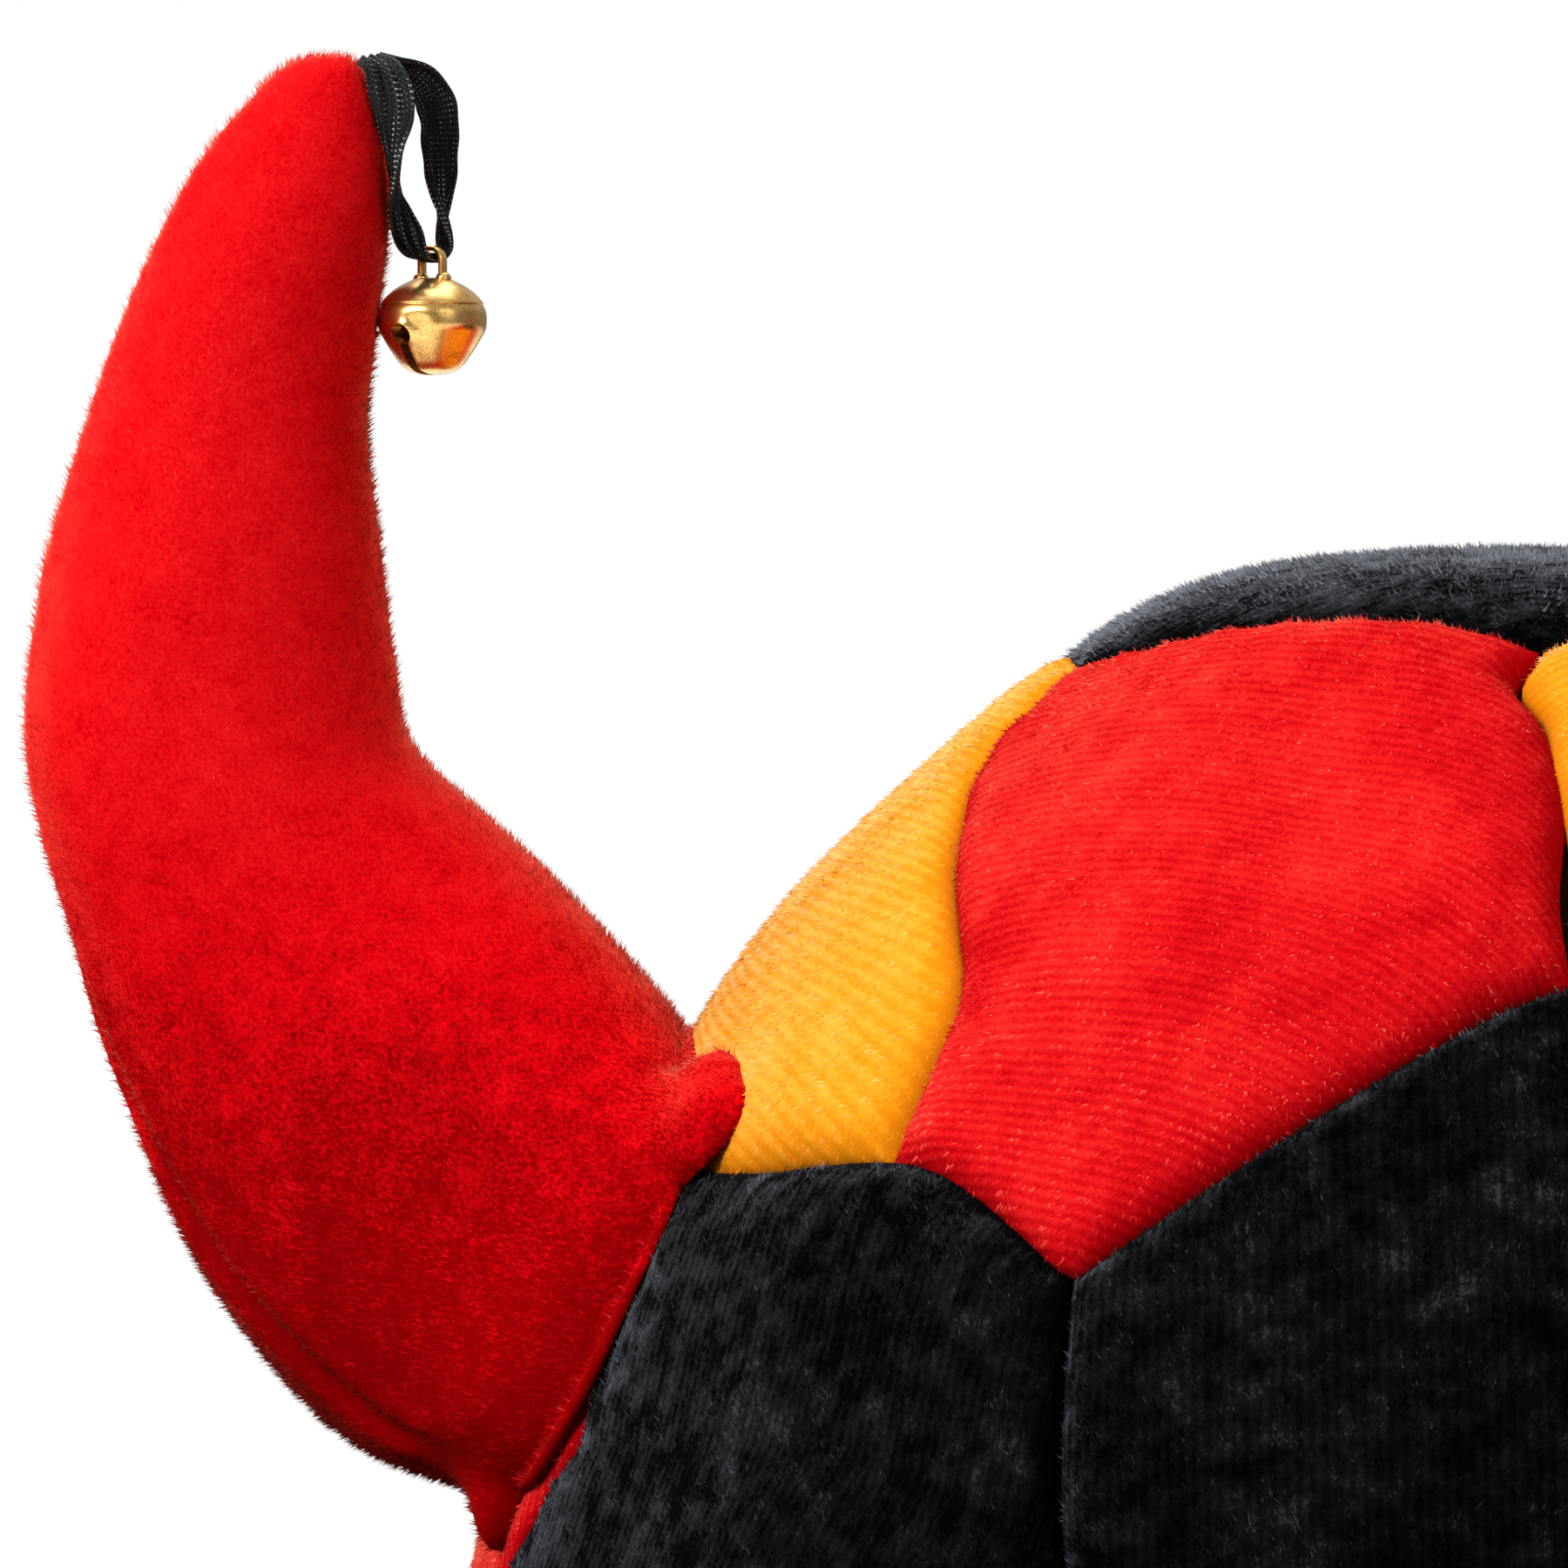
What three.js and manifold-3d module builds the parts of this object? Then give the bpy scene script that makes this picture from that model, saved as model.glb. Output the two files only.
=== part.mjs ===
// Plush supporter's hat. A dome of sewn velour panels stands on its rim, a stuffed horn curves up
// from each side, and a small jingle bell hangs from each horn tip on a loop of satin ribbon.
// Millimetres, +Z up, front towards -Y. The origin is the middle of the rim, on the surface below.

import * as THREE from "three";
import { mergeVertices } from "three/addons/utils/BufferGeometryUtils.js";
import Module from "manifold-3d";

const wasm = await Module();
wasm.setup();

// Driving dimensions of the dome
const CROWN_HEIGHT = 160;
const DEPTH_RATIO = 1.12;
const CLOTH = 3;
const PANEL_PUFF = 1.4;
const SEAM_GAP = 0.4;
const CAP_FRONT_REACH = 39.5;
const CAP_CORNER_REACH = 44;
const CAP_EDGE_BOW = 0.1;

// Outline of the dome seen from the front, from the middle of the top down to the rim
const CROWN_PROFILE = [
  { drop: 1.4, halfWidth: 0 },
  { drop: 2.7, halfWidth: 18 },
  { drop: 5.6, halfWidth: 30.5 },
  { drop: 11.2, halfWidth: 41 },
  { drop: 21.5, halfWidth: 53.5 },
  { drop: 34, halfWidth: 66 },
  { drop: 48, halfWidth: 75.5 },
  { drop: 70, halfWidth: 86.5 },
  { drop: 94, halfWidth: 94 },
  { drop: 127, halfWidth: 95.5 },
  { drop: CROWN_HEIGHT, halfWidth: 95 },
];

// Arched seam between the gores and the wall, the same on all four quarters of the hat
const ARCH_APEX = 121.5;
const ARCH_NOTCH = 96.5;
const ARCH_ROUNDNESS = 1.35;
const SHOULDER = 106;
const NOTCH_ANGLE = 31;
const GORE_FOOT_ANGLE = 47.5;
const SIDE_WALL_ANGLE = 69;
const CAP_CORNER_ANGLE = 72;
const NOTCH_SEAM_FOOT = 20;
const SIDE_SEAM_FOOT = 90;

// Where a slanting seam starts and stops turning, as shares of its height
const GORE_BEND = { start: 0.25, end: 0.9 };
const SIDE_BEND = { start: 0.375, end: 0.75 };
const KITE_TIP = 0.385;

// Columns of faces in each stretch of a quarter, and rows in each tier
const QUARTER_STRETCHES = [
  { from: 0, to: NOTCH_ANGLE, columns: 6 },
  { from: NOTCH_ANGLE, to: GORE_FOOT_ANGLE, columns: 3 },
  { from: GORE_FOOT_ANGLE, to: SIDE_WALL_ANGLE, columns: 4 },
  { from: SIDE_WALL_ANGLE, to: 90, columns: 4 },
];
const GORE_ROWS = 8;
const WALL_ROWS = 8;
const CAP_RINGS = 4;
const CUTTER_ROWS = 24;
const CUTTER_COLUMNS = 72;

// Colours of the cloth, ribbon and metal
const RED = 0xdc0512;
const YELLOW = 0xf7ab22;
const BLACK = 0x141416;
const RIBBON_BLACK = 0x1b1a1b;
const BRASS = 0xc8922e;

// Gores, with angles in degrees from the front round by the left
const GORES = [
  { name: "gore_front_left", colour: RED, footFrom: 0, footTo: 47.5, topFrom: 0, topTo: 72 },
  { name: "gore_side_left", colour: YELLOW, footFrom: 47.5, footTo: 132.5, topFrom: 72, topTo: 108 },
  { name: "gore_back_left", colour: RED, footFrom: 132.5, footTo: 180, topFrom: 108, topTo: 180 },
  { name: "gore_back_right", colour: YELLOW, footFrom: 180, footTo: 227.5, topFrom: 180, topTo: 252 },
  { name: "gore_side_right", colour: RED, footFrom: 227.5, footTo: 312.5, topFrom: 252, topTo: 288 },
  { name: "gore_front_right", colour: YELLOW, footFrom: 312.5, footTo: 360, topFrom: 288, topTo: 360 },
];

// Wall panels below the arched seam, by the angles of their upper corners. The red side panels are
// kites that end in a point above the rim; the black ones run down to it.
const WALLS = [
  { name: "wall_front", colour: BLACK, from: -31, to: 31, kite: false },
  { name: "wall_front_left", colour: BLACK, from: 31, to: 69, kite: false },
  { name: "wall_side_left", colour: RED, from: 69, to: 111, kite: true },
  { name: "wall_back_left", colour: BLACK, from: 111, to: 149, kite: false },
  { name: "wall_back", colour: BLACK, from: 149, to: 211, kite: false },
  { name: "wall_back_right", colour: BLACK, from: 211, to: 249, kite: false },
  { name: "wall_side_right", colour: RED, from: 249, to: 291, kite: true },
  { name: "wall_front_right", colour: BLACK, from: 291, to: 329, kite: false },
];

// Horn on the left, from inside the dome to the tip. Each section runs from the outer edge to the
// inner edge of the curve; halfDepth is front to back, and seamTurn brings the sewn groove forward.
const HORN_SECTIONS = [
  { outerX: -72, outerZ: 60, innerX: -50.5, innerZ: 98.5, halfDepth: 38, squareness: 3.2, seamTurn: 36 },
  { outerX: -93, outerZ: 73, innerX: -71.5, innerZ: 111.5, halfDepth: 37, squareness: 3.2, seamTurn: 36 },
  { outerX: -106, outerZ: 78, innerX: -79, innerZ: 119.5, halfDepth: 30, squareness: 2.4, seamTurn: 30 },
  { outerX: -117.5, outerZ: 90, innerX: -87.5, innerZ: 128.5, halfDepth: 25, squareness: 2.2, seamTurn: 16 },
  { outerX: -124, outerZ: 102, innerX: -95, innerZ: 136, halfDepth: 21.5, squareness: 2, seamTurn: 4 },
  { outerX: -130, outerZ: 118, innerX: -101, innerZ: 142, halfDepth: 18, squareness: 2, seamTurn: 0 },
  { outerX: -135.6, outerZ: 138, innerX: -102.5, innerZ: 148, halfDepth: 15.8, squareness: 2, seamTurn: 0 },
  { outerX: -135.6, outerZ: 154, innerX: -103.5, innerZ: 155, halfDepth: 14.4, squareness: 2, seamTurn: 0 },
  { outerX: -131.5, outerZ: 169, innerX: -105, innerZ: 169, halfDepth: 12.4, squareness: 2, seamTurn: 0 },
  { outerX: -127, outerZ: 182, innerX: -104.5, innerZ: 179.5, halfDepth: 10.6, squareness: 2, seamTurn: 0 },
  { outerX: -121, outerZ: 194, innerX: -103, innerZ: 191, halfDepth: 8.4, squareness: 2, seamTurn: 0 },
  { outerX: -116, outerZ: 201, innerX: -103.5, innerZ: 199, halfDepth: 6.2, squareness: 2, seamTurn: 0 },
  { outerX: -113.5, outerZ: 203.8, innerX: -105, innerZ: 203.4, halfDepth: 4.4, squareness: 2, seamTurn: 0 },
  { outerX: -111, outerZ: 205, innerX: -106.5, innerZ: 205, halfDepth: 2.2, squareness: 2, seamTurn: 0 },
];
const HORN_SIDES = 20;
const HORN_GROOVE = 1.4;
const GATHER_SIDES = 10;
const GATHER_RINGS = 8;

// Gathered lumps of plush where the horn is sewn down, by place on the dome
const HORN_GATHERS = [
  { angle: 69, height: 107, across: 9, up: 7.5, proud: 5 },
  { angle: 111, height: 107, across: 9, up: 7.5, proud: 5 },
  { angle: 82, height: 73, across: 7, up: 4.5, proud: 4 },
  { angle: 98, height: 73, across: 7, up: 4.5, proud: 4 },
];

// Ribbon loop on the left horn: from the tip down in front, through the bail and up behind.
// turn is the direction of the ribbon's width in plan, in degrees from the side-to-side axis.
const BAIL_PLACE = new THREE.Vector3(-99.1, 0, 186.2);
const RIBBON_ROUTE = [
  { x: -103.5, y: -2, z: 203.2, width: 3.2, thick: 0.6, turn: 30 },
  { x: -102.4, y: -2.9, z: 201.6, width: 4.2, thick: 0.6, turn: 10 },
  { x: -101.9, y: -3.6, z: 198.2, width: 4.4, thick: 0.6, turn: 0 },
  { x: -102, y: -4, z: 194.5, width: 3.4, thick: 0.6, turn: -15 },
  { x: -101.9, y: -3.7, z: 191.5, width: 2.4, thick: 0.7, turn: -45 },
  { x: -101.5, y: -3, z: 189, width: 2.6, thick: 0.7, turn: -50 },
  { x: -100.6, y: -1.9, z: 187.2, width: 1.6, thick: 0.8, turn: -42 },
  { x: -99.7, y: -0.8, z: 186.3, width: 0.9, thick: 0.6, turn: -36 },
  { x: -98.5, y: 0.8, z: 186.3, width: 0.9, thick: 0.6, turn: -36 },
  { x: -97.9, y: 1.9, z: 187.4, width: 1.6, thick: 0.8, turn: -42 },
  { x: -97.9, y: 2.6, z: 190, width: 2, thick: 0.7, turn: -55 },
  { x: -98.6, y: 2.8, z: 193.5, width: 2.6, thick: 0.7, turn: -30 },
  { x: -99.1, y: 2.7, z: 197.5, width: 3.4, thick: 0.6, turn: -8 },
  { x: -99.6, y: 2.3, z: 200.3, width: 3.6, thick: 0.6, turn: 0 },
  { x: -101.2, y: 1.9, z: 202.6, width: 3.6, thick: 0.6, turn: -12 },
  { x: -103.5, y: 1.6, z: 203.6, width: 3.2, thick: 0.6, turn: -30 },
];
const RIBBON_STEPS = 32;

// Jingle bell, measured from the ribbon in its bail. Rows run from the top of the collar down.
const BELL_MIDDLE = -5.8;
const BELL_WALL = 0.5;
const BELL_SIDES = 20;
const BELL_TURN = -36;
const BELL_PROFILE = [
  { up: 4.6, radius: 0 },
  { up: 4.6, radius: 1.6 },
  { up: 4.2, radius: 2 },
  { up: 2.9, radius: 3.9 },
  { up: 1.6, radius: 4.75 },
  { up: 0, radius: 5 },
  { up: -2.2, radius: 4.5 },
  { up: -4, radius: 2.7 },
  { up: -4.8, radius: 1 },
  { up: -4.85, radius: 0 },
];
const SLOT_WIDTH = 1;
const SLOT_TOP = -1;
const SLOT_HOLE_RADIUS = 0.95;
const SLOT_REACH = 12;
const BAIL_RADIUS = 1.2;
const BAIL_WIRE = 0.4;
const BAIL_FOOT = -1.55;
const BAIL_ARC_STEPS = 8;
const BAIL_STEPS = 14;
const WIRE_SEGMENTS = 4;
const HOLE_SIDES = 12;

const { clamp, degToRad, lerp, radToDeg, smoothstep } = THREE.MathUtils;

// Collects triangles and turns them into one indexed geometry
class Faces {
  constructor() {
    this.positions = [];
  }

  triangle(a, b, c) {
    const corners = [a, b, c];
    const pinched = corners.some((corner, i) => corner.distanceTo(corners[(i + 1) % 3]) < 1e-4);
    if (!pinched) {
      corners.forEach((corner) => this.positions.push(corner.x, corner.y, corner.z));
    }
  }

  quad(a, b, c, d) {
    this.triangle(a, b, c);
    this.triangle(a, c, d);
  }

  geometry() {
    const geometry = new THREE.BufferGeometry();
    geometry.setAttribute("position", new THREE.Float32BufferAttribute(this.positions, 3));
    return mergeVertices(geometry);
  }
}

// A closed geometry as a solid that can be cut and joined
function solidOf(geometry) {
  const bare = geometry.clone();
  bare.deleteAttribute("normal");
  bare.deleteAttribute("uv");
  const merged = mergeVertices(bare);
  const corners = Array.from(merged.index.array);
  const triangles = [];
  for (let i = 0; i < corners.length; i += 3) {
    const [a, b, c] = corners.slice(i, i + 3);
    if (a !== b && b !== c && c !== a) {
      triangles.push(a, b, c);
    }
  }
  const vertProperties = new Float32Array(merged.attributes.position.array);
  return new wasm.Manifold(
    new wasm.Mesh({ numProp: 3, vertProperties, triVerts: new Uint32Array(triangles) }));
}

function geometryOf(solid) {
  const mesh = solid.getMesh();
  const geometry = new THREE.BufferGeometry();
  geometry.setAttribute("position", new THREE.Float32BufferAttribute(mesh.vertProperties, 3));
  geometry.setIndex(Array.from(mesh.triVerts));
  return geometry;
}

// The dome as a surface: angle round from the front, and share of the way from the top to the rim
const profile = new THREE.SplineCurve(
  CROWN_PROFILE.map(({ drop, halfWidth }) => new THREE.Vector2(halfWidth, CROWN_HEIGHT - drop)));
const profileLength = profile.getLength();

function crownPoint(angle, share, offset) {
  const turn = degToRad(angle);
  const outline = profile.getPointAt(share);
  const slope = profile.getTangentAt(share);
  const point = new THREE.Vector3(
    -outline.x * Math.sin(turn), -outline.x * DEPTH_RATIO * Math.cos(turn), outline.y);
  const outward = new THREE.Vector3(
    DEPTH_RATIO * slope.y * Math.sin(turn), slope.y * Math.cos(turn), DEPTH_RATIO * slope.x);
  if (share === 0) {
    outward.set(0, 0, 1);
  }
  return point.addScaledVector(outward.normalize(), offset);
}

function shareAtHeight(height) {
  let above = 0;
  let below = 1;
  for (let i = 0; i < 40; i += 1) {
    const middle = (above + below) / 2;
    if (profile.getPointAt(middle).y > height) {
      above = middle;
    } else {
      below = middle;
    }
  }
  return below;
}

// Angle measured from the nearer of front and back, 0 to 90
function quarterAngle(angle) {
  const half = Math.abs(((angle + 180) % 360) - 180);
  return half > 90 ? 180 - half : half;
}

function archHeight(angle) {
  const quarter = quarterAngle(angle);
  if (quarter < NOTCH_ANGLE) {
    return lerp(ARCH_APEX, ARCH_NOTCH, (quarter / NOTCH_ANGLE) ** ARCH_ROUNDNESS);
  }
  const rise = Math.min((quarter - NOTCH_ANGLE) / (GORE_FOOT_ANGLE - NOTCH_ANGLE), 1);
  return lerp(ARCH_NOTCH, SHOULDER, Math.sin((rise * Math.PI) / 2));
}

// Six-sided cap edge: between two corners it runs part way from an arc to a straight cut
function capShare(angle) {
  const quarter = quarterAngle(angle);
  const onSide = quarter > CAP_CORNER_ANGLE;
  const half = onSide ? 90 - CAP_CORNER_ANGLE : CAP_CORNER_ANGLE / 2;
  const fromMiddle = onSide ? 90 - quarter : quarter - half;
  const straight = Math.cos(degToRad(half)) / Math.cos(degToRad(fromMiddle));
  const reach = lerp(CAP_FRONT_REACH, CAP_CORNER_REACH, Math.min(quarter / CAP_CORNER_ANGLE, 1));
  return (lerp(straight, 1, CAP_EDGE_BOW) * reach) / profileLength;
}

// Angles at which the faces of both tiers meet, all the way round
function ringStations() {
  const quarter = [];
  QUARTER_STRETCHES.forEach(({ from, to, columns }) => {
    for (let i = 0; i < columns; i += 1) {
      quarter.push(lerp(from, to, i / columns));
    }
  });
  const half = [...quarter, 90, ...quarter.slice(1).reverse().map((angle) => 180 - angle)];
  const whole = [...half, ...half.map((angle) => angle + 180)];
  return [...whole.map((angle) => angle - 360), ...whole, 360];
}

const STATIONS = ringStations();

function stationsBetween(from, to) {
  return STATIONS.filter((angle) => angle > from - 0.01 && angle < to + 0.01);
}

function swell(share) {
  return 1 - (2 * share - 1) ** 4;
}

// Closed shell between an outer and an inner grid of points, rows upwards and columns to the left
function shellGeometry(outer, inner, wraps) {
  const faces = new Faces();
  const lastRow = outer.length - 1;
  const lastColumn = outer[0].length - 1;
  for (let r = 0; r < lastRow; r += 1) {
    for (let c = 0; c < lastColumn; c += 1) {
      faces.quad(outer[r][c], outer[r + 1][c], outer[r + 1][c + 1], outer[r][c + 1]);
      faces.quad(inner[r][c], inner[r][c + 1], inner[r + 1][c + 1], inner[r + 1][c]);
    }
  }
  for (let c = 0; c < lastColumn; c += 1) {
    faces.quad(outer[0][c], outer[0][c + 1], inner[0][c + 1], inner[0][c]);
    if (!wraps) {
      faces.quad(outer[lastRow][c + 1], outer[lastRow][c], inner[lastRow][c], inner[lastRow][c + 1]);
    }
  }
  if (!wraps) {
    for (let r = 0; r < lastRow; r += 1) {
      faces.quad(outer[r + 1][0], outer[r][0], inner[r][0], inner[r + 1][0]);
      faces.quad(
        outer[r][lastColumn], outer[r + 1][lastColumn], inner[r + 1][lastColumn], inner[r][lastColumn]);
    }
  }
  return faces.geometry();
}

// Angle of a wall seam at a share of its height, from the angle of its upper end
function wallSeam(topAngle, up) {
  const quarter = quarterAngle(topAngle);
  const onSide = Math.abs(quarter - SIDE_WALL_ANGLE) < 0.01;
  const turned = onSide
    ? lerp(SIDE_SEAM_FOOT, quarter, clamp((up - SIDE_BEND.start) / (SIDE_BEND.end - SIDE_BEND.start), 0, 1))
    : lerp(NOTCH_SEAM_FOOT, quarter, up);
  const quadrant = Math.floor(topAngle / 90);
  return quadrant % 2 === 0 ? quadrant * 90 + turned : (quadrant + 1) * 90 - turned;
}

// One sewn panel. columns run between its two side seams, each with its share across and the shares of
// the dome at its foot and top; ups are the heights of its rows; seams give the angles of its sides.
function panelGeometry({ columns, ups, fromSeam, toSeam, puffRow, meetsRim }) {
  const outer = [];
  const inner = [];
  const lastRow = ups.length - 1;
  const lastColumn = columns.length - 1;
  const edgeShare = SEAM_GAP / 2 / profileLength;
  ups.forEach((up, r) => {
    const outerRow = [];
    const innerRow = [];
    columns.forEach(({ across, footShare, topShare }, c) => {
      let share = lerp(footShare, topShare, up);
      if (r === lastRow) {
        share += edgeShare;
      } else if (r === 0 && !meetsRim) {
        share -= edgeShare;
      }
      const edgeAngle = radToDeg(SEAM_GAP / 2 / profile.getPointAt(share).x);
      let angle = lerp(fromSeam(up), toSeam(up), across);
      if (c === 0) {
        angle += edgeAngle;
      } else if (c === lastColumn) {
        angle -= edgeAngle;
      }
      outerRow.push(crownPoint(angle, share, PANEL_PUFF * swell(across) * puffRow(up)));
      innerRow.push(crownPoint(angle, share, -CLOTH));
    });
    outer.push(outerRow);
    inner.push(innerRow);
  });
  if (meetsRim) {
    [...outer[0], ...inner[0]].forEach((point) => point.setZ(0));
  }
  return shellGeometry(outer, inner, false);
}

function evenRows(rows) {
  return Array.from({ length: rows + 1 }, (_, r) => r / rows);
}

function goreColumns({ footFrom, footTo, topFrom, topTo }) {
  return stationsBetween(footFrom, footTo).map((angle) => {
    const across = (angle - footFrom) / (footTo - footFrom);
    const topAngle = lerp(topFrom, topTo, across);
    return { across, topAngle, footShare: shareAtHeight(archHeight(angle)), topShare: capShare(topAngle) };
  });
}

function goreGeometry(gore) {
  const bend = (up) => smoothstep(up, GORE_BEND.start, GORE_BEND.end);
  return panelGeometry({
    columns: goreColumns(gore),
    ups: evenRows(GORE_ROWS),
    fromSeam: (up) => lerp(gore.footFrom, gore.topFrom, bend(up)),
    toSeam: (up) => lerp(gore.footTo, gore.topTo, bend(up)),
    puffRow: swell,
    meetsRim: false,
  });
}

function wallGeometry({ from, to, kite }) {
  const columns = stationsBetween(from, to).map((angle) => (
    { across: (angle - from) / (to - from), footShare: 1, topShare: shareAtHeight(archHeight(angle)) }));
  const rows = evenRows(WALL_ROWS);
  return panelGeometry({
    columns,
    ups: kite ? [KITE_TIP, ...rows.filter((up) => up > KITE_TIP)] : rows,
    fromSeam: (up) => wallSeam(from, up),
    toSeam: (up) => wallSeam(to, up),
    puffRow: (up) => 1 - up ** 6,
    meetsRim: !kite,
  });
}

// The cap shares the gores' top corners, so its columns are theirs
function capGeometry() {
  const edge = GORES.flatMap((gore) => goreColumns(gore).slice(0, -1));
  edge.push({ ...edge[0], topAngle: edge[0].topAngle + 360 });
  const outer = [];
  const inner = [];
  for (let ring = CAP_RINGS; ring >= 0; ring -= 1) {
    const out = ring / CAP_RINGS;
    const seam = ring === CAP_RINGS ? SEAM_GAP / 2 / profileLength : 0;
    const puff = PANEL_PUFF * (1 - out ** 6);
    const ringOf = (offset) => edge.map(({ topAngle, topShare }) => (
      crownPoint(topAngle, topShare * out - seam, offset)));
    outer.push(ringOf(puff));
    inner.push(ringOf(-CLOTH));
  }
  return shellGeometry(outer, inner, true);
}

// Solid of the whole dome with its puff and a seam gap, used to seat the horns on it
function domeCutter() {
  const faces = new Faces();
  const offset = PANEL_PUFF + SEAM_GAP;
  const at = (r, c) => crownPoint((c * 360) / CUTTER_COLUMNS, r / CUTTER_ROWS, offset);
  const foot = new THREE.Vector3(0, 0, 0);
  for (let c = 0; c < CUTTER_COLUMNS; c += 1) {
    const next = (c + 1) % CUTTER_COLUMNS;
    for (let r = 0; r < CUTTER_ROWS; r += 1) {
      faces.quad(at(r + 1, c), at(r, c), at(r, next), at(r + 1, next));
    }
    faces.triangle(at(CUTTER_ROWS, c), at(CUTTER_ROWS, next), foot);
  }
  return solidOf(faces.geometry());
}

// One closed ring of the horn, with the sewn groove as its first point
function hornRing(section) {
  const outer = new THREE.Vector3(section.outerX, 0, section.outerZ);
  const inner = new THREE.Vector3(section.innerX, 0, section.innerZ);
  const middle = outer.clone().add(inner).multiplyScalar(0.5);
  const toOuter = outer.clone().sub(middle);
  const toFront = new THREE.Vector3(0, -section.halfDepth, 0);
  const power = 2 / section.squareness;
  const ring = [];
  for (let i = 0; i < HORN_SIDES; i += 1) {
    const turn = degToRad(section.seamTurn + (i * 360) / HORN_SIDES);
    const across = Math.sign(Math.cos(turn)) * Math.abs(Math.cos(turn)) ** power;
    const forward = Math.sign(Math.sin(turn)) * Math.abs(Math.sin(turn)) ** power;
    const arm = toOuter.clone().multiplyScalar(across).addScaledVector(toFront, forward);
    if (i === 0) {
      arm.setLength(arm.length() - Math.min(HORN_GROOVE, arm.length() / 8));
    }
    ring.push(middle.clone().add(arm));
  }
  return ring;
}

// Closed loft through rings of points, with a fan of faces over each end
function loftGeometry(rings) {
  const faces = new Faces();
  const sides = rings[0].length;
  const middleOf = (ring) => {
    const sum = ring.reduce((total, point) => total.add(point), new THREE.Vector3());
    return sum.divideScalar(ring.length);
  };
  const first = rings[0];
  const last = rings[rings.length - 1];
  const firstMiddle = middleOf(first);
  const lastMiddle = middleOf(last);
  for (let i = 0; i < sides; i += 1) {
    const next = (i + 1) % sides;
    for (let r = 0; r + 1 < rings.length; r += 1) {
      faces.quad(rings[r][i], rings[r][next], rings[r + 1][next], rings[r + 1][i]);
    }
    faces.triangle(firstMiddle, first[next], first[i]);
    faces.triangle(lastMiddle, last[i], last[next]);
  }
  return faces.geometry();
}

function gatherGeometry({ angle, height, across, up, proud }) {
  const lump = new THREE.SphereGeometry(1, GATHER_SIDES, GATHER_RINGS);
  lump.scale(across, proud, up);
  lump.rotateZ(degToRad(-angle));
  const seat = crownPoint(angle, shareAtHeight(height), PANEL_PUFF);
  return lump.translate(seat.x, seat.y, seat.z);
}

function hornGeometry() {
  let horn = solidOf(loftGeometry(HORN_SECTIONS.map(hornRing)));
  HORN_GATHERS.forEach((gather) => {
    horn = horn.add(solidOf(gatherGeometry(gather)));
  });
  return geometryOf(horn.subtract(domeCutter()));
}

// Flat ribbon along its route; the width keeps level and turns in plan
function ribbonGeometry() {
  const route = new THREE.CatmullRomCurve3(RIBBON_ROUTE.map(({ x, y, z }) => new THREE.Vector3(x, y, z)));
  const lastRow = RIBBON_ROUTE.length - 1;
  const rings = [];
  for (let i = 0; i <= RIBBON_STEPS; i += 1) {
    const along = i / RIBBON_STEPS;
    const row = Math.min(Math.floor(along * lastRow), lastRow - 1);
    const between = along * lastRow - row;
    const mixed = (column) => lerp(RIBBON_ROUTE[row][column], RIBBON_ROUTE[row + 1][column], between);
    const heading = route.getTangent(along);
    const turn = degToRad(mixed("turn"));
    const width = new THREE.Vector3(Math.cos(turn), Math.sin(turn), 0);
    width.addScaledVector(heading, -width.dot(heading)).setLength(mixed("width") / 2);
    const face = new THREE.Vector3().crossVectors(heading, width).setLength(mixed("thick") / 2);
    const middle = route.getPoint(along);
    rings.push([
      middle.clone().add(width).add(face),
      middle.clone().sub(width).add(face),
      middle.clone().sub(width).sub(face),
      middle.clone().add(width).sub(face),
    ]);
  }
  return loftGeometry(rings);
}

function bellBody(shrink) {
  const points = BELL_PROFILE.map(({ up, radius }) => {
    const inside = up - Math.sign(up) * Math.min(shrink, Math.abs(up));
    return new THREE.Vector2(Math.max(radius - shrink, 0), inside);
  });
  const body = new THREE.LatheGeometry(points.reverse(), BELL_SIDES);
  return solidOf(body.rotateX(Math.PI / 2).translate(0, 0, BELL_MIDDLE));
}

function bailGeometry() {
  const path = [new THREE.Vector3(-BAIL_RADIUS, 0, BAIL_FOOT)];
  for (let i = 0; i <= BAIL_ARC_STEPS; i += 1) {
    const turn = Math.PI * (1 - i / BAIL_ARC_STEPS);
    path.push(new THREE.Vector3(BAIL_RADIUS * Math.cos(turn), 0, BAIL_RADIUS * Math.sin(turn)));
  }
  path.push(new THREE.Vector3(BAIL_RADIUS, 0, BAIL_FOOT));
  const wire = new THREE.Shape().absarc(0, 0, BAIL_WIRE, 0, 2 * Math.PI);
  return new THREE.ExtrudeGeometry(wire, {
    curveSegments: WIRE_SEGMENTS,
    steps: BAIL_STEPS,
    bevelEnabled: false,
    extrudePath: new THREE.CatmullRomCurve3(path),
  });
}

// Hollow bell with a slot across its foot, a round hole at each end of the slot, and its bail
function bellGeometry() {
  const slotTop = BELL_MIDDLE + SLOT_TOP;
  const slot = new THREE.BoxGeometry(SLOT_WIDTH, SLOT_REACH, SLOT_REACH);
  slot.translate(0, 0, slotTop - SLOT_REACH / 2);
  const hole = new THREE.CylinderGeometry(SLOT_HOLE_RADIUS, SLOT_HOLE_RADIUS, SLOT_REACH, HOLE_SIDES);
  hole.translate(0, 0, slotTop);
  const bell = bellBody(0)
    .add(solidOf(bailGeometry()))
    .subtract(bellBody(BELL_WALL))
    .subtract(solidOf(slot))
    .subtract(solidOf(hole));
  return geometryOf(bell);
}

function cloth(colour) {
  return new THREE.MeshStandardMaterial({ color: colour, roughness: 0.95, metalness: 0 });
}

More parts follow.
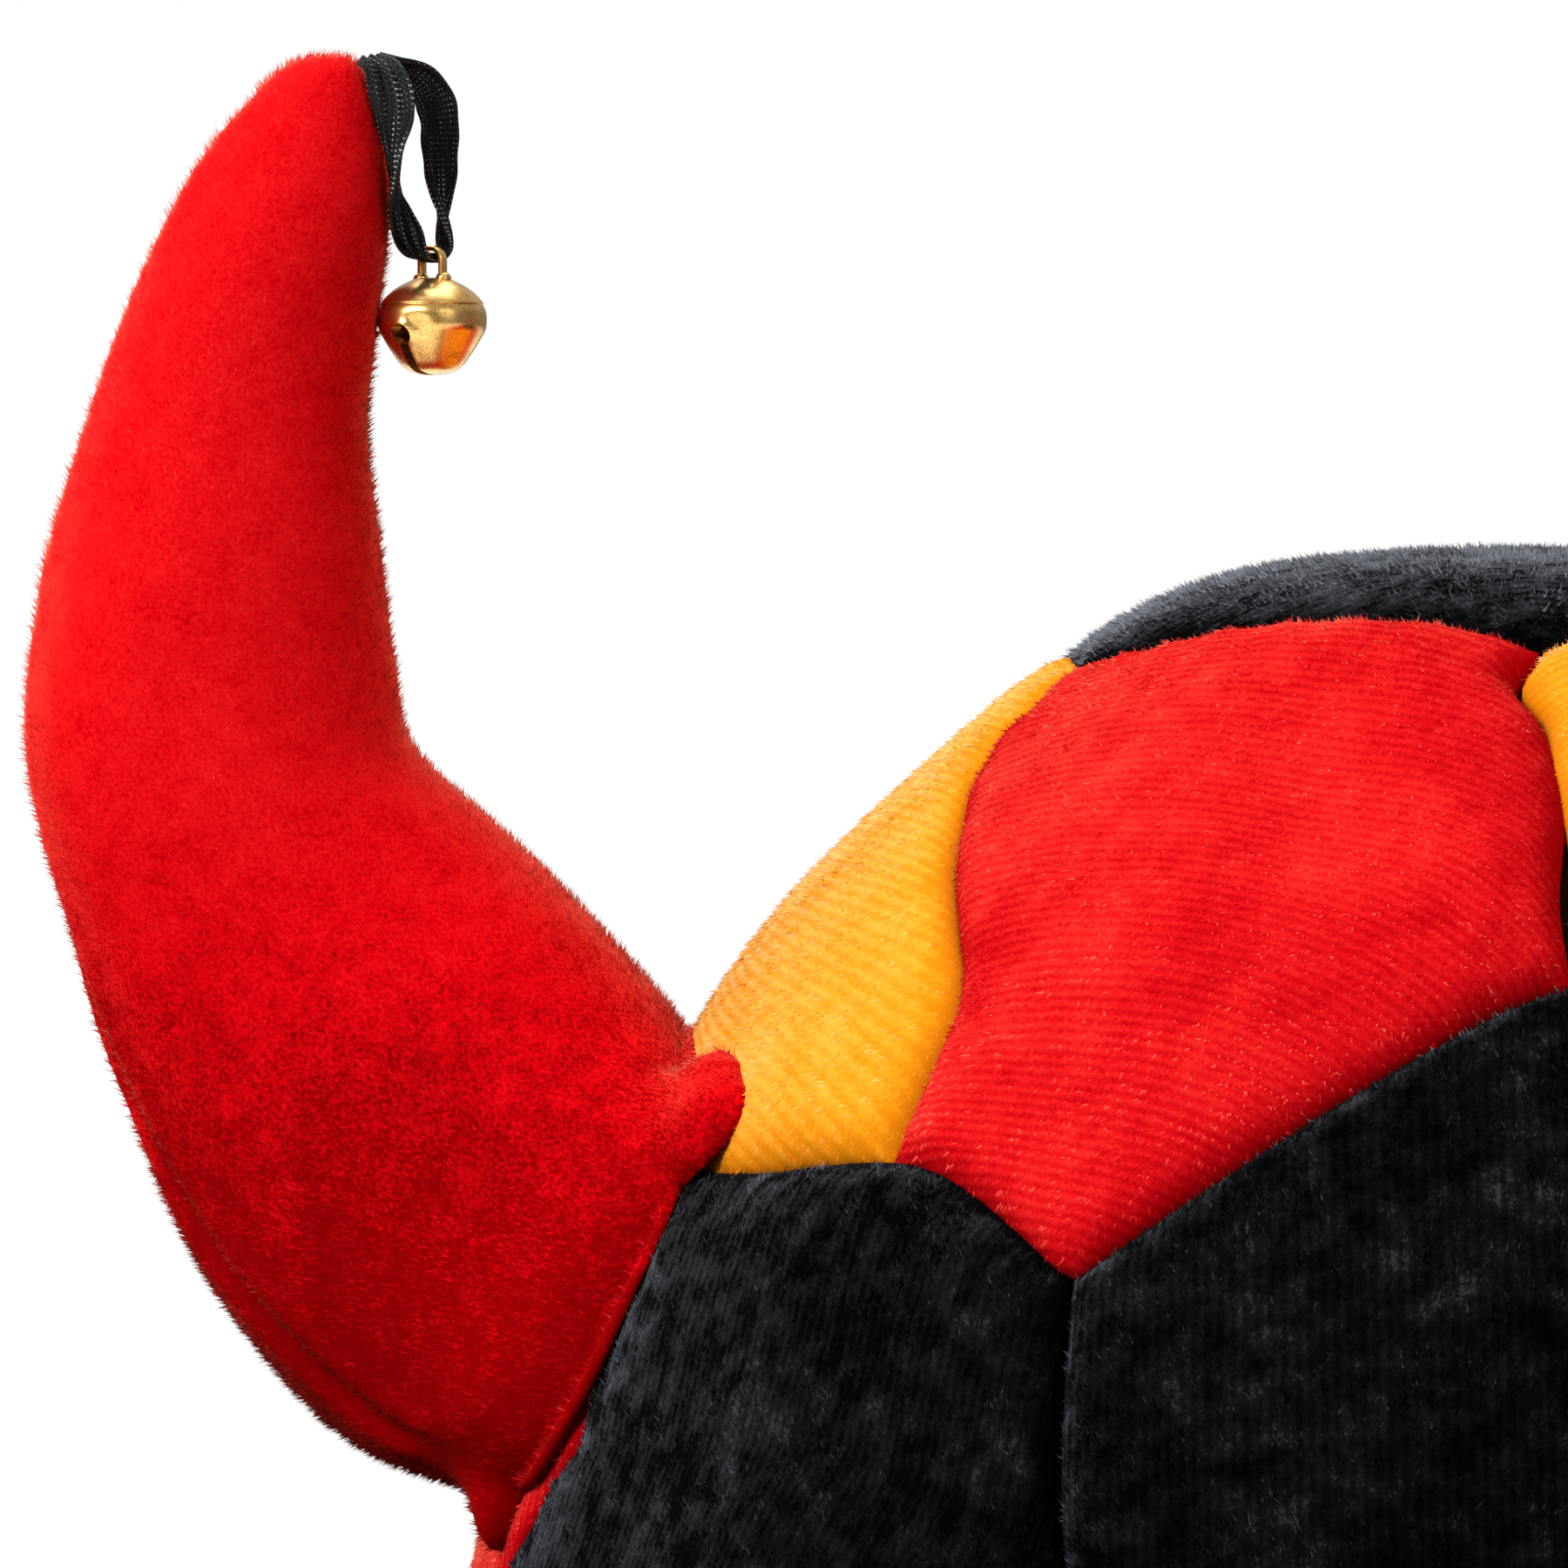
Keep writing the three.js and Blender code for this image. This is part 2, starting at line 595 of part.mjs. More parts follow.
function named(name, geometry, material) {
  const mesh = new THREE.Mesh(geometry, material);
  mesh.name = name;
  return mesh;
}

// Horn, ribbon and bell of one side; the right side is the left one mirrored
function hornSide(side, mirror, { horn, ribbon, bell }) {
  const group = new THREE.Group();
  group.scale.x = mirror;
  const satin = new THREE.MeshStandardMaterial({ color: RIBBON_BLACK, roughness: 0.45, metalness: 0 });
  const brass = new THREE.MeshStandardMaterial({ color: BRASS, roughness: 0.25, metalness: 1 });
  const bellMesh = named(`bell_${side}`, bell, brass);
  bellMesh.position.copy(BAIL_PLACE);
  bellMesh.rotation.z = degToRad(BELL_TURN);
  group.add(named(`horn_${side}`, horn, cloth(RED)), named(`ribbon_${side}`, ribbon, satin), bellMesh);
  return group;
}

const hat = new THREE.Group();
hat.add(named("crown_top", capGeometry(), cloth(BLACK)));
GORES.forEach((gore) => hat.add(named(gore.name, goreGeometry(gore), cloth(gore.colour))));
WALLS.forEach((wall) => hat.add(named(wall.name, wallGeometry(wall), cloth(wall.colour))));
const sidePieces = { horn: hornGeometry(), ribbon: ribbonGeometry(), bell: bellGeometry() };
hat.add(hornSide("left", 1, sidePieces), hornSide("right", -1, sidePieces));

export default hat;
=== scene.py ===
# Plush fan hat: a dome of sewn velour panels, a stuffed horn on each side, and a jingle bell that hangs
# from each horn tip on a loop of satin ribbon. Sizes below are millimetres, the scene is in metres.

import math

import bmesh
import bpy
import numpy as np
from mathutils import Matrix, Vector


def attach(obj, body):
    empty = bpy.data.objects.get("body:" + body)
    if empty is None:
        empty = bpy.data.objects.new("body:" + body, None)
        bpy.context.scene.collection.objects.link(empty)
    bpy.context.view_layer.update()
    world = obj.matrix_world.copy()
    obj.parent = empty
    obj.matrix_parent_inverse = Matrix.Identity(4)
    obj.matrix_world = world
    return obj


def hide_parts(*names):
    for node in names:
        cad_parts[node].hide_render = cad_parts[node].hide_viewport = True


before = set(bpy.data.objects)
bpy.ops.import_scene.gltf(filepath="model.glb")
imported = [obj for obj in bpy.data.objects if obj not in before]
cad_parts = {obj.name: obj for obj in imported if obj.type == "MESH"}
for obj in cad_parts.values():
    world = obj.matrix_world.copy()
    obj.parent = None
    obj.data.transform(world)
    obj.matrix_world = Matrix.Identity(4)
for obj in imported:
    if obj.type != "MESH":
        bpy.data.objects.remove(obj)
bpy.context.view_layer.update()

HAT_BODY = "hat"

# One millimetre in metres, and how near corners are to be merged
MM = 0.001
MERGE = 0.001

# Dome, from the middle of the top down to the rim: drop below the top, then half width
CROWN_HEIGHT = 160
DEPTH_RATIO = 1.12
CROWN_PROFILE = [
    (1.4, 0), (2.7, 18), (5.6, 30.5), (11.2, 41), (21.5, 53.5), (34, 66),
    (48, 75.5), (70, 86.5), (94, 94), (127, 95.5), (160, 95),
]
CLOTH = 3
PANEL_PUFF = 1.4
SEAM_GAP = 0.4
SEAM_DEPTH = 1.1
SEAM_ROLL = 1.7
# Painted shade in the valleys of the seams: how much darker the pile is made, and how far that reaches
SEAM_SHADE = 0.5
SEAM_SHADE_REACH = 1.4

# Seams of the dome: heights, and angles in degrees from the front round by the left
ARCH_APEX = 121.5
ARCH_NOTCH = 96.5
ARCH_ROUNDNESS = 1.35
SHOULDER = 106
SHOULDER_DROP = 2.4
NOTCH_ANGLE = 31
GORE_FOOT_ANGLE = 47.5
SIDE_WALL_ANGLE = 69
NOTCH_SEAM_FOOT = 20
SIDE_SEAM_FOOT = 90
CAP_CORNER_ANGLE = 72
CAP_FRONT_REACH = 39.5
CAP_CORNER_REACH = 44
CAP_EDGE_BOW = 0.1
GORE_BEND = (0.25, 0.9)
SIDE_BEND = (0.375, 0.75)
KITE_TIP = 0.385
SEAM_WANDER = 0.7
WALL_WANDER_TURN = 9
GORE_WANDER_TURN = 3 * math.pi
FRONT_SEAM_BULGE = {"up": 0.86, "reach": 0.09, "shift": 3.4}

# Name and finish of the panels in order from the front round by the left; a side wall is a kite
GORES = [
    ("gore_front_left", "red_velour"),
    ("gore_side_left", "yellow_velour"),
    ("gore_back_left", "red_velour"),
    ("gore_back_right", "yellow_velour"),
    ("gore_side_right", "red_velour"),
    ("gore_front_right", "yellow_velour"),
]
WALLS = [
    ("wall_front", "black_velour"),
    ("wall_front_left", "black_velour"),
    ("wall_side_left", "red_velour"),
    ("wall_back_left", "black_velour"),
    ("wall_back", "black_velour"),
    ("wall_back_right", "black_velour"),
    ("wall_side_right", "red_velour"),
    ("wall_front_right", "black_velour"),
]

# Soft unevenness of the cloth: slow waves, and puckers that fade away from the seams
WAVE_HEIGHT = 0.75
RIPPLE_HEIGHT = 0.22
PUCKER_HEIGHT = 0.3
PUCKER_PITCH = 7.5
PUCKER_REACH = 5
PUCKER_DRIFT = 2
HORN_CALM = 0.8
HORN_CALM_ANGLES = (58, 70)
CALM_SEAM = 0.3
FRONT_DENTS = [
    {"x": -21, "z": 139, "reach": 8, "depth": 1.5},
    {"x": -33, "z": 122, "reach": 9, "depth": -0.9},
    {"x": -47, "z": 112, "reach": 7, "depth": 0.8},
]

# Faces along each side of a panel, and how far they crowd towards its seams
CLOTH_FACES = 36
SEAM_CROWDING = 0.6

# Steps that measure a panel's cut, a short step for slopes, and a distance out of every seam's reach
CUT_STEPS = 60
NEAR = 0.001
FAR = 99.0

# Places on the bake's map: first and size across the front and the back of the cloth, then up
FRONT_MAP = (0.02, 0.7)
BACK_MAP = (0.76, 0.22)
MAP_UP = (0.02, 0.96)
CAP_MAP_WIDTH = 2.2 * CAP_CORNER_REACH
STRAND_MAP = [(-0.002, 0), (0.002, 0), (0, 0.004)]

# Horn on the left, from inside the dome to the tip: outer edge, inner edge, half depth front to back,
# squareness of the section, and how far the sewn groove is turned to the front
HORN_SECTIONS = [
    (-72, 60, -50.5, 98.5, 38, 3.2, 40),
    (-93, 73, -71.5, 111.5, 37, 3.2, 40),
    (-106, 78, -79, 119.5, 30, 2.4, 36),
    (-117.5, 90, -87.5, 128.5, 25, 2.2, 29),
    (-124, 102, -95, 136, 21.5, 2, 19),
    (-130, 118, -101, 142, 18, 2, 7),
    (-135.6, 138, -102.5, 148, 15.8, 2, 0),
    (-135.6, 154, -103.5, 155, 14.4, 2, 0),
    (-131.5, 169, -105, 169, 12.4, 2, 0),
    (-127, 182, -104.5, 179.5, 10.6, 2, 0),
    (-121, 194, -103, 191, 8.4, 2, 0),
    (-116, 201, -103.5, 199, 6.2, 2, 0),
    (-113.5, 203.8, -105, 203.4, 4.4, 2, 0),
    (-111, 205, -106.5, 205, 2.2, 2, 0),
]
HORN_COLUMNS = 96
HORN_ROWS = 150
HORN_CROWDING = 0.55
HORN_GROOVE = 1.7
HORN_GROOVE_HALF = 1.5
# Painted shade of the plush in the sewn groove
HORN_GROOVE_SHADE = 0.3
HORN_WELT = 0.5
HORN_WELT_AWAY = 3.2
HORN_WELT_HALF = 1.8
HORN_SLIM = 10
HORN_AXIS = -112
HORN_WAVE = 0.45
HORN_TUCK = 0.7
HORN_TUCK_REACH = 6
HORN_SEAT = 0.1
# Painted shade: how much darker the plush is made towards the foot, fading out between these heights
HORN_FOOT_SHADE = 0.46
HORN_FOOT_SHADE_HEIGHTS = (80, 150)

# Rolled edge that sews each horn to the dome, and the soft folds it gathers into at the front and the back:
# place on the dome in degrees and height, how far out, half sizes along, across and outwards, and tilt
HORN_ROLL = 0.7
HORN_FOLDS = [
    {"angle": 70.2, "height": 109.4, "out": 1.4, "half": (5.4, 6.2, 3.6), "tilt": 0},
    {"angle": 67.2, "height": 106.8, "out": 1.4, "half": (6.0, 6.8, 3.5), "tilt": 4},
    {"angle": 77, "height": 73.5, "out": 2.0, "half": (5.8, 4.4, 3.3), "tilt": 14},
]
FOLD_WIDENING = 0.2
ROLL_STEPS = 160
ROLL_SIDES = 20
ROLL_REACH = 0.4
ROLL_ROUNDS = 6
ROLL_RIPPLE = 0.05
EVEN_FACE = 1.15
FOLD_REACH = 11
FOLD_ROUNDS = 12
SOFTEN_REACH = 7
SOFTEN_ROUNDS = 4

# Ribbon loop of the left horn: x, y, z, width, and turn of the width in plan
RIBBON_ROUTE = [
    (-105.0, -1.6, 204.6, 2.6, 35),
    (-103.6, -2.5, 203.6, 3.4, 14),
    (-102.7, -3.3, 201.2, 3.8, 2),
    (-102.4, -3.8, 199, 3.7, -16),
    (-102.3, -3.9, 196.8, 3.5, -52),
    (-102.3, -3.8, 194.7, 3.1, -72),
    (-102.2, -3.5, 192.7, 2.6, -92),
    (-101.9, -3.1, 190.7, 2.7, -126),
    (-101.3, -2.5, 188.7, 2.6, -152),
    (-100.6, -1.8, 187.1, 1.9, -186),
    (-99.7, -0.8, 186.3, 0.9, -216),
    (-98.5, 0.8, 186.3, 0.9, -216),
    (-97.9, 1.7, 187.2, 1.7, -226),
    (-97.9, 2.2, 188.6, 2.3, -240),
    (-98.1, 2.5, 190.6, 2.4, -270),
    (-98.3, 2.7, 192.7, 2.9, -306),
    (-98.4, 2.8, 194.7, 3.2, -330),
    (-98.5, 2.7, 196.9, 3.4, -350),
    (-98.5, 2.5, 199, 3.6, -356),
    (-98.9, 2.3, 201, 3.7, -360),
    (-99.9, 2, 202.7, 3.5, -366),
    (-101.6, 1.6, 203.9, 3.2, -376),
    (-104.2, 1.2, 204.8, 2.6, -390),
]
RIBBON_WIDTH = 4.4
RIBBON_CLOTH = 0.24
RIBBON_PLEATS = 2.5
RIBBON_PLEAT_HEIGHT = 0.09
RIBBON_PLEAT_ROOM = {"least": 0.1, "growth": 0.2, "clear": 1.4}
RIBBON_FRILL = 0.03
RIBBON_RIBS = 9
RIBBON_RIB_HEIGHT = 0.05
RIBBON_COLUMNS = 40
RIBBON_ROWS = 150

# Jingle bell, measured from the ribbon in its bail: height from the bell's middle, then radius
BAIL_PLACE = (-99.1, 0, 186.2)
BELL_TURN = -36
BELL_MIDDLE = -5.35
BELL_WALL = 0.45
BELL_PROFILE = [
    (3.8, 0), (3.8, 1.1), (3.72, 1.65), (3.5, 2.15), (3.15, 2.85), (2.7, 3.55), (2.2, 4.12), (1.75, 4.52),
    (1.42, 4.74), (1.3, 4.66), (1.18, 4.74), (0.85, 4.9), (0.4, 5.0), (-0.5, 5.0), (-1.0, 4.88),
    (-1.4, 4.68), (-2.4, 4.1), (-3.4, 3.45), (-4.2, 2.85), (-4.7, 2.2), (-4.95, 1.4), (-5.05, 0.7),
    (-5.07, 0),
]
BELL_STEPS = 80
BELL_HOLLOW = {"height": 0.86, "radius": 0.88, "steps": 48}
BELL_SHOULDER = 1.6
BELL_CREASE = 38
CUTTER_SIZE = 12
SLOT_WIDTH = 0.9
SLOT_TOP = -1.5
SLOT_HOLE_RADIUS = 0.95
SLOT_LIP = 0.14
SLOT_LIP_REACH = 0.4
BELL_DENT = {"x": 1.9, "up": -0.7, "reach": 0.9, "depth": 0.4}
BAIL_RADIUS = 1.2
BAIL_HALF_BAND = 0.5
BAIL_HALF_THICK = 0.26
BAIL_FOOT = -1.75
BAIL_ROUNDING = 0.6
BAIL_KNOB = 0.72
BAIL_KNOB_PLACE = (1.3, 0, -1.55)
BAIL_KNOB_SQUASH = 0.75

# Pile: length, root width, strands in a square millimetre, lean from upright in degrees
VELOUR_PILE = {"length": 0.75, "width": 0.235, "density": 2.35, "lean": 56}
CAP_PILE = {"length": 0.9, "width": 0.25, "density": 3.2, "lean": 40}
PLUSH_PILE = {"length": 0.95, "width": 0.178, "density": 4.2, "lean": 46}
STRAND_STRAY = {"lean": 11, "lean_patch": 14, "swing": 24, "swing_patch": 30, "twist": 24}
STRAND_LENGTHS = (0.65, 1.25)
STRAND_WIDTHS = (0.7, 1.2)
STRAND_SUNK = 0.08
STRAND_THICK = 0.03
STRAND_SHADING = {"face": 0.14, "stray": 0.06, "tip": 0.2}
PILE_TRIES = 7
PILE_SEAT = 0.05
KNIT_PITCH = 1.15
KNIT_SWAY = 0.35
ROW_SLANT = 0.4

# Tone of the pile: its middle, what brushed patches, tufts and single strands add, painted shade at its
# roots, the knit rows' share, and the lower tone of the cloth and plush under the strands, painted shade
# between them
PANEL_TONE = {"middle": 0.4, "patch": 0.3, "tuft": 0.24, "strand": 0.1}
HORN_TONE = {"middle": 0.45, "patch": 0.17, "tuft": 0.08, "strand": 0.07}
ROOT_SHADE = 0.1
ROW_TONE = 0.9
CLOTH_SHADED_TONE = 0.22
PLUSH_SHADED_TONE = 0.38

# Camera: the photo's frame is this wide where it cuts the middle of the hat
CAMERA_PLACE = (-66.8, -1000, 138.2)
FRAME_WIDTH = 144
SENSOR_WIDTH = 36
FLOOR_HALF = 850

# Soft square lamps: name, place, target, size, power, in metres and watts
LAMPS = [
    ("key", (-0.9, -0.9, 0.8), (-0.08, 0, 0.15), 0.7, 23),
    ("top", (-0.15, 0.35, 1.15), (-0.05, 0, 0.15), 0.9, 11),
    ("side", (-1.1, 0.3, 0.5), (-0.1, 0, 0.16), 0.6, 8),
    ("fill", (0.6, -1.1, 0.7), (0, 0, 0.14), 0.8, 4),
]


def smooth_curve(rows, steps):
    """Curve through rows of numbers, with the given steps from each row to the next."""
    rows = np.asarray(rows, float)
    ends = np.vstack([rows[:1], rows, rows[-1:]])
    t = np.linspace(0, 1, steps, endpoint=False)[:, None]
    stretches = []
    for before, start, end, after in zip(ends, ends[1:], ends[2:], ends[3:]):
        leave = (end - before) / 2
        arrive = (after - start) / 2
        square = 3 * (end - start) - 2 * leave - arrive
        cube = 2 * (start - end) + leave + arrive
        stretches.append(start + leave * t + square * t**2 + cube * t**3)
    return np.vstack([*stretches, rows[-1:]])


def along_curve(curve, share):
    """Columns of a curve where it is crossed, from 0 at its first row to 1 at its last."""
    at = share * (len(curve) - 1)
    return [np.interp(at, np.arange(len(curve)), column) for column in curve.T]


def nearest(line, points):
    """For each point, which row of a line is nearest to it and how far away that is."""
    rows = np.array([((line - point) ** 2).sum(1).argmin() for point in points])
    return rows, np.linalg.norm(points - line[rows], axis=1)


def lerp(start, end, share):
    return start + (end - start) * share


def signed_power(value, power):
    return np.sign(value) * np.abs(value) ** power


def falloff(away, reach):
    return np.exp(-((away / reach) ** 2))


def smoothstep(value, limits):
    share = np.clip((value - limits[0]) / (limits[1] - limits[0]), 0, 1)
    return share * share * (3 - 2 * share)


def unit(vectors):
    return vectors / np.maximum(np.linalg.norm(vectors, axis=-1, keepdims=True), 1e-9)


def dot(one, other):
    return (one * other).sum(-1, keepdims=True)


class SoftNoise:
    """Smooth noise from -1 to 1 over points, on a seeded lattice with cells of the given size."""

    SIDE = 32

    def __init__(self, seed, cell):
        self.values = np.random.default_rng(seed).uniform(-1, 1, (self.SIDE,) * 3)
        self.cell = cell

    def __call__(self, points):
        at = np.asarray(points) / self.cell
        low = np.floor(at).astype(int)
        part = at - low
        part = part * part * (3 - 2 * part)
        total = np.zeros(at.shape[:-1])
        for corner in np.ndindex(2, 2, 2):
            x, y, z = np.moveaxis((low + corner) % self.SIDE, -1, 0)
            total += np.prod(np.where(corner, part, 1 - part), axis=-1) * self.values[x, y, z]
        return total


wide_noise = SoftNoise(3, 24)
middle_noise = SoftNoise(5, 9)
patch_noise = SoftNoise(7, 13)
tuft_noise = SoftNoise(11, 2.2)


# Dome surface
DOME = smooth_curve([(half, CROWN_HEIGHT - drop) for drop, half in CROWN_PROFILE], 30)
DOME_STEPS = np.linalg.norm(np.diff(DOME, axis=0), axis=1)
DOME_LENGTH = DOME_STEPS.sum()
DOME_SHARE = np.concatenate([[0], DOME_STEPS.cumsum()]) / DOME_LENGTH
DOME_SLOPE = unit(np.gradient(DOME, DOME_SHARE, axis=0))
MEAN_RATIO = (1 + DEPTH_RATIO) / 2


def dome_row(share, table):
    return np.interp(share, DOME_SHARE, table[:, 0]), np.interp(share, DOME_SHARE, table[:, 1])


def crown(angle, share, offset):
    """Points on the dome, offset outwards."""
    turn = np.radians(angle)
    half, height = dome_row(share, DOME)
    run, fall = dome_row(share, DOME_SLOPE)
    point = np.stack([-half * np.sin(turn), -half * DEPTH_RATIO * np.cos(turn), height], -1)
    outward = np.stack([DEPTH_RATIO * fall * np.sin(turn), fall * np.cos(turn), DEPTH_RATIO * run], -1)
    return point + unit(outward) * np.asarray(offset)[..., None]


def above_dome(points):
    """How far points stand outside the dome's surface, negative inside."""
    flat = np.stack([np.hypot(points[:, 0], points[:, 1] / DEPTH_RATIO), points[:, 2]], -1)
    rows, _ = nearest(DOME, flat)
    outward = np.stack([-DOME_SLOPE[rows, 1], DOME_SLOPE[rows, 0]], -1)
    return ((flat - DOME[rows]) * outward).sum(1)


def share_at_height(height):
    return np.interp(height, DOME[::-1, 1], DOME_SHARE[::-1])


def quarter_angle(angle):
    half = np.abs((np.asarray(angle) + 180) % 360 - 180)
    return np.where(half > 90, 180 - half, half)


def all_round(angle):
    """The same angle in each quarter of the hat."""
    return angle, 180 - angle, 180 + angle, 360 - angle


def arch_height(angle):
    quarter = quarter_angle(angle)
    arch = lerp(ARCH_APEX, ARCH_NOTCH, np.minimum(quarter / NOTCH_ANGLE, 1) ** ARCH_ROUNDNESS)
    rise = np.clip((quarter - NOTCH_ANGLE) / (GORE_FOOT_ANGLE - NOTCH_ANGLE), 0, 1)
    shoulder = SHOULDER - SHOULDER_DROP * smoothstep(quarter, (GORE_FOOT_ANGLE, SIDE_WALL_ANGLE))
    return np.where(quarter < NOTCH_ANGLE, arch, lerp(ARCH_NOTCH, shoulder, np.sin(rise * np.pi / 2)))


def cap_share(angle):
    quarter = quarter_angle(angle)
    on_side = quarter > CAP_CORNER_ANGLE
    half = np.where(on_side, 90 - CAP_CORNER_ANGLE, CAP_CORNER_ANGLE / 2)
    from_middle = np.where(on_side, 90 - quarter, quarter - half)
    straight = np.cos(np.radians(half)) / np.cos(np.radians(from_middle))
    reach = lerp(CAP_FRONT_REACH, CAP_CORNER_REACH, np.minimum(quarter / CAP_CORNER_ANGLE, 1))
    return lerp(straight, 1, CAP_EDGE_BOW) * reach / DOME_LENGTH


def wander(up, turn):
    """Degrees that a seam strays from its line between its ends, as hand-guided sewing does."""
    return SEAM_WANDER * np.sin(turn) * np.sin(np.pi * np.clip(up, 0, 1))


def wall_seam(top_angle, up):
    """Angle of a wall's side seam at a height, from the angle of its upper end."""
    quarter = float(quarter_angle(top_angle))
    if quarter == SIDE_WALL_ANGLE:
        bend = np.clip((up - SIDE_BEND[0]) / (SIDE_BEND[1] - SIDE_BEND[0]), 0, 1)
        turned = lerp(SIDE_SEAM_FOOT, quarter, bend)
    else:
        turned = lerp(NOTCH_SEAM_FOOT, quarter, up) + wander(up, WALL_WANDER_TURN * up)
    quadrant = math.floor(top_angle / 90)
    return quadrant * 90 + turned if quadrant % 2 == 0 else (quadrant + 1) * 90 - turned


# Sewn panels
class Panel:
    """One panel as a surface: across runs from one side seam to the other, up from foot to top."""

    closed = False
    meets_rim = False
    pile = VELOUR_PILE
    rows_upright = False
    tilt = 0.0
    banding = 0.75
    nap_up = False
    slack = 1.0
    roll = SEAM_ROLL
    lift = 0.0

    def __init__(self, name, finish):
        self.name = name
        self.finish = finish

    def spans(self, across, up):
        """Width and length of the panel where it is crossed."""
        left, _ = self.place(np.zeros_like(across), up)
        right, _ = self.place(np.ones_like(across), up)
        _, share = self.place(across, up)
        _, foot = self.place(across, np.zeros_like(up))
        _, top = self.place(across, np.ones_like(up))
        width = np.radians(right - left) * dome_row(share, DOME)[0] * MEAN_RATIO
        return width, (foot - top) * DOME_LENGTH

    def edges(self, across, up):
        """Distances to the nearer side seam, the foot and the top."""
        width, length = self.spans(across, up)
        if self.closed:
            return np.full_like(across, FAR), up * length, np.full_like(up, FAR)
        return np.minimum(across, 1 - across) * width, up * length, (1 - up) * length

    def seam_shade(self, across, up):
        """Painted shade: how much darker the pile's tone is made in the valley of a seam."""
        side, foot, top = self.edges(across, up)
        near = np.minimum(side, top) if self.meets_rim else np.minimum(np.minimum(side, top), foot)
        return SEAM_SHADE * np.exp(-near / SEAM_SHADE_REACH)

    def surface(self, across, up):
        width, _ = self.spans(across, up)
        gap = 0 if self.closed else np.clip(SEAM_GAP / 2 / np.maximum(width, 0.1), 0, 0.45)
        angle, share = self.place(lerp(gap, 1 - gap, across), up)
        side, foot, top = self.edges(across, up)
        rolled = (1 - np.exp(-side / self.roll)) * (1 - np.exp(-top / self.roll))
        rolled = rolled * (1 - np.exp(-foot / (self.roll / 2 if self.meets_rim else self.roll)))
        on_dome = crown(angle, share, 0)
        wave = self.slack * (WAVE_HEIGHT * wide_noise(on_dome) + RIPPLE_HEIGHT * middle_noise(on_dome))
        calm = HORN_CALM * smoothstep(quarter_angle(angle), HORN_CALM_ANGLES)
        wave = wave * (1 - calm)
        drift = PUCKER_DRIFT * wide_noise(on_dome * 1.7)
        pucker = np.exp(-side / PUCKER_REACH) * np.sin(2 * np.pi * foot / PUCKER_PITCH + drift)
        ends = np.exp(-top / PUCKER_REACH)
        if not self.meets_rim:
            ends = ends + np.exp(-foot / PUCKER_REACH)
        pucker = pucker + ends * np.sin(2 * np.pi * across * width / PUCKER_PITCH + drift)
        dent = np.zeros_like(across)
        for row in FRONT_DENTS:
            away = np.hypot(on_dome[..., 0] - row["x"], on_dome[..., 2] - row["z"])
            dent += row["depth"] * falloff(away, row["reach"]) * (on_dome[..., 1] < 0)
        swell = PANEL_PUFF + wave + PUCKER_HEIGHT * pucker - dent
        sewn = rolled * (SEAM_DEPTH + swell) - SEAM_DEPTH
        points = crown(angle, share, lerp(sewn, swell * lerp(1 - CALM_SEAM, 1, rolled), calm))
        points[..., 2] = np.maximum(points[..., 2], 0)
        return points

    def directions(self, across, up):
        """Ways out from the surface and up over it."""
        left, right = np.maximum(across - NEAR, 0), np.minimum(across + NEAR, 1)
        low, high = np.maximum(up - NEAR, 0), np.minimum(up + NEAR, 1)
        along = unit(self.surface(right, up) - self.surface(left, up))
        rising = unit(self.surface(across, high) - self.surface(across, low))
        normals = unit(np.cross(rising, along))
        angle, share = self.place(across, up)
        outward = crown(angle, share, 1) - crown(angle, share, 0)
        normals[dot(normals, outward)[:, 0] < 0] *= -1
        return normals, rising

    def backing(self, across, up):
        angle, share = self.place(across, up)
        points = crown(angle, share, -CLOTH)
        if self.meets_rim:
            points[..., 2] = np.where(up < 1e-6, 0, np.maximum(points[..., 2], 0))
        return points

    def grain(self, across, up):
        """Place in the knit, in millimetres across its rows and along them."""
        width, length = self.spans(across, up)
        sideways = (across - 0.5) * width
        if self.rows_upright:
            return np.stack([up * length, sideways, np.zeros_like(up)], -1)
        below_top = (1 - up) * length
        slant = ROW_SLANT * sideways * (1 - up)
        return np.stack([sideways, self.tilt * sideways - below_top - slant, np.zeros_like(up)], -1)


def gore_seam(angles, up):
    """Angle of a gore's side seam at a height, from the angles of its lower and upper ends."""
    foot, top = angles
    drift = wander(up, GORE_WANDER_TURN * up + foot)
    if foot % 360 == 0:
        drift += FRONT_SEAM_BULGE["shift"] * falloff(up - FRONT_SEAM_BULGE["up"], FRONT_SEAM_BULGE["reach"])
    return lerp(foot, top, smoothstep(up, GORE_BEND)) + drift


class Gore(Panel):
    def __init__(self, name, finish, foot, top):
        super().__init__(name, finish)
        self.foot = foot
        self.top = top
        self.tilt = 0.18 if "side" in name else 0.0

    def place(self, across, up):
        left, right = (gore_seam(ends, up) for ends in zip(self.foot, self.top))
        foot_share = share_at_height(arch_height(lerp(*self.foot, across)))
        top_share = cap_share(lerp(*self.top, across))
        return lerp(left, right, across), lerp(foot_share, top_share, up)


class Wall(Panel):
    def __init__(self, name, finish, corners):
        super().__init__(name, finish)
        kite = "side" in name
        self.corners = corners
        self.lowest = KITE_TIP if kite else 0
        self.meets_rim = not kite
        self.rows_upright = True
        self.nap_up = not kite
        self.banding = 0.6 if kite else 0.25
        self.slack = 1.0 if kite else 2.0

    def place(self, across, up):
        height = lerp(self.lowest, 1, up)
        left, right = (wall_seam(corner, height) for corner in self.corners)
        top_share = share_at_height(arch_height(lerp(*self.corners, across)))
        return lerp(left, right, across), lerp(1, top_share, height)


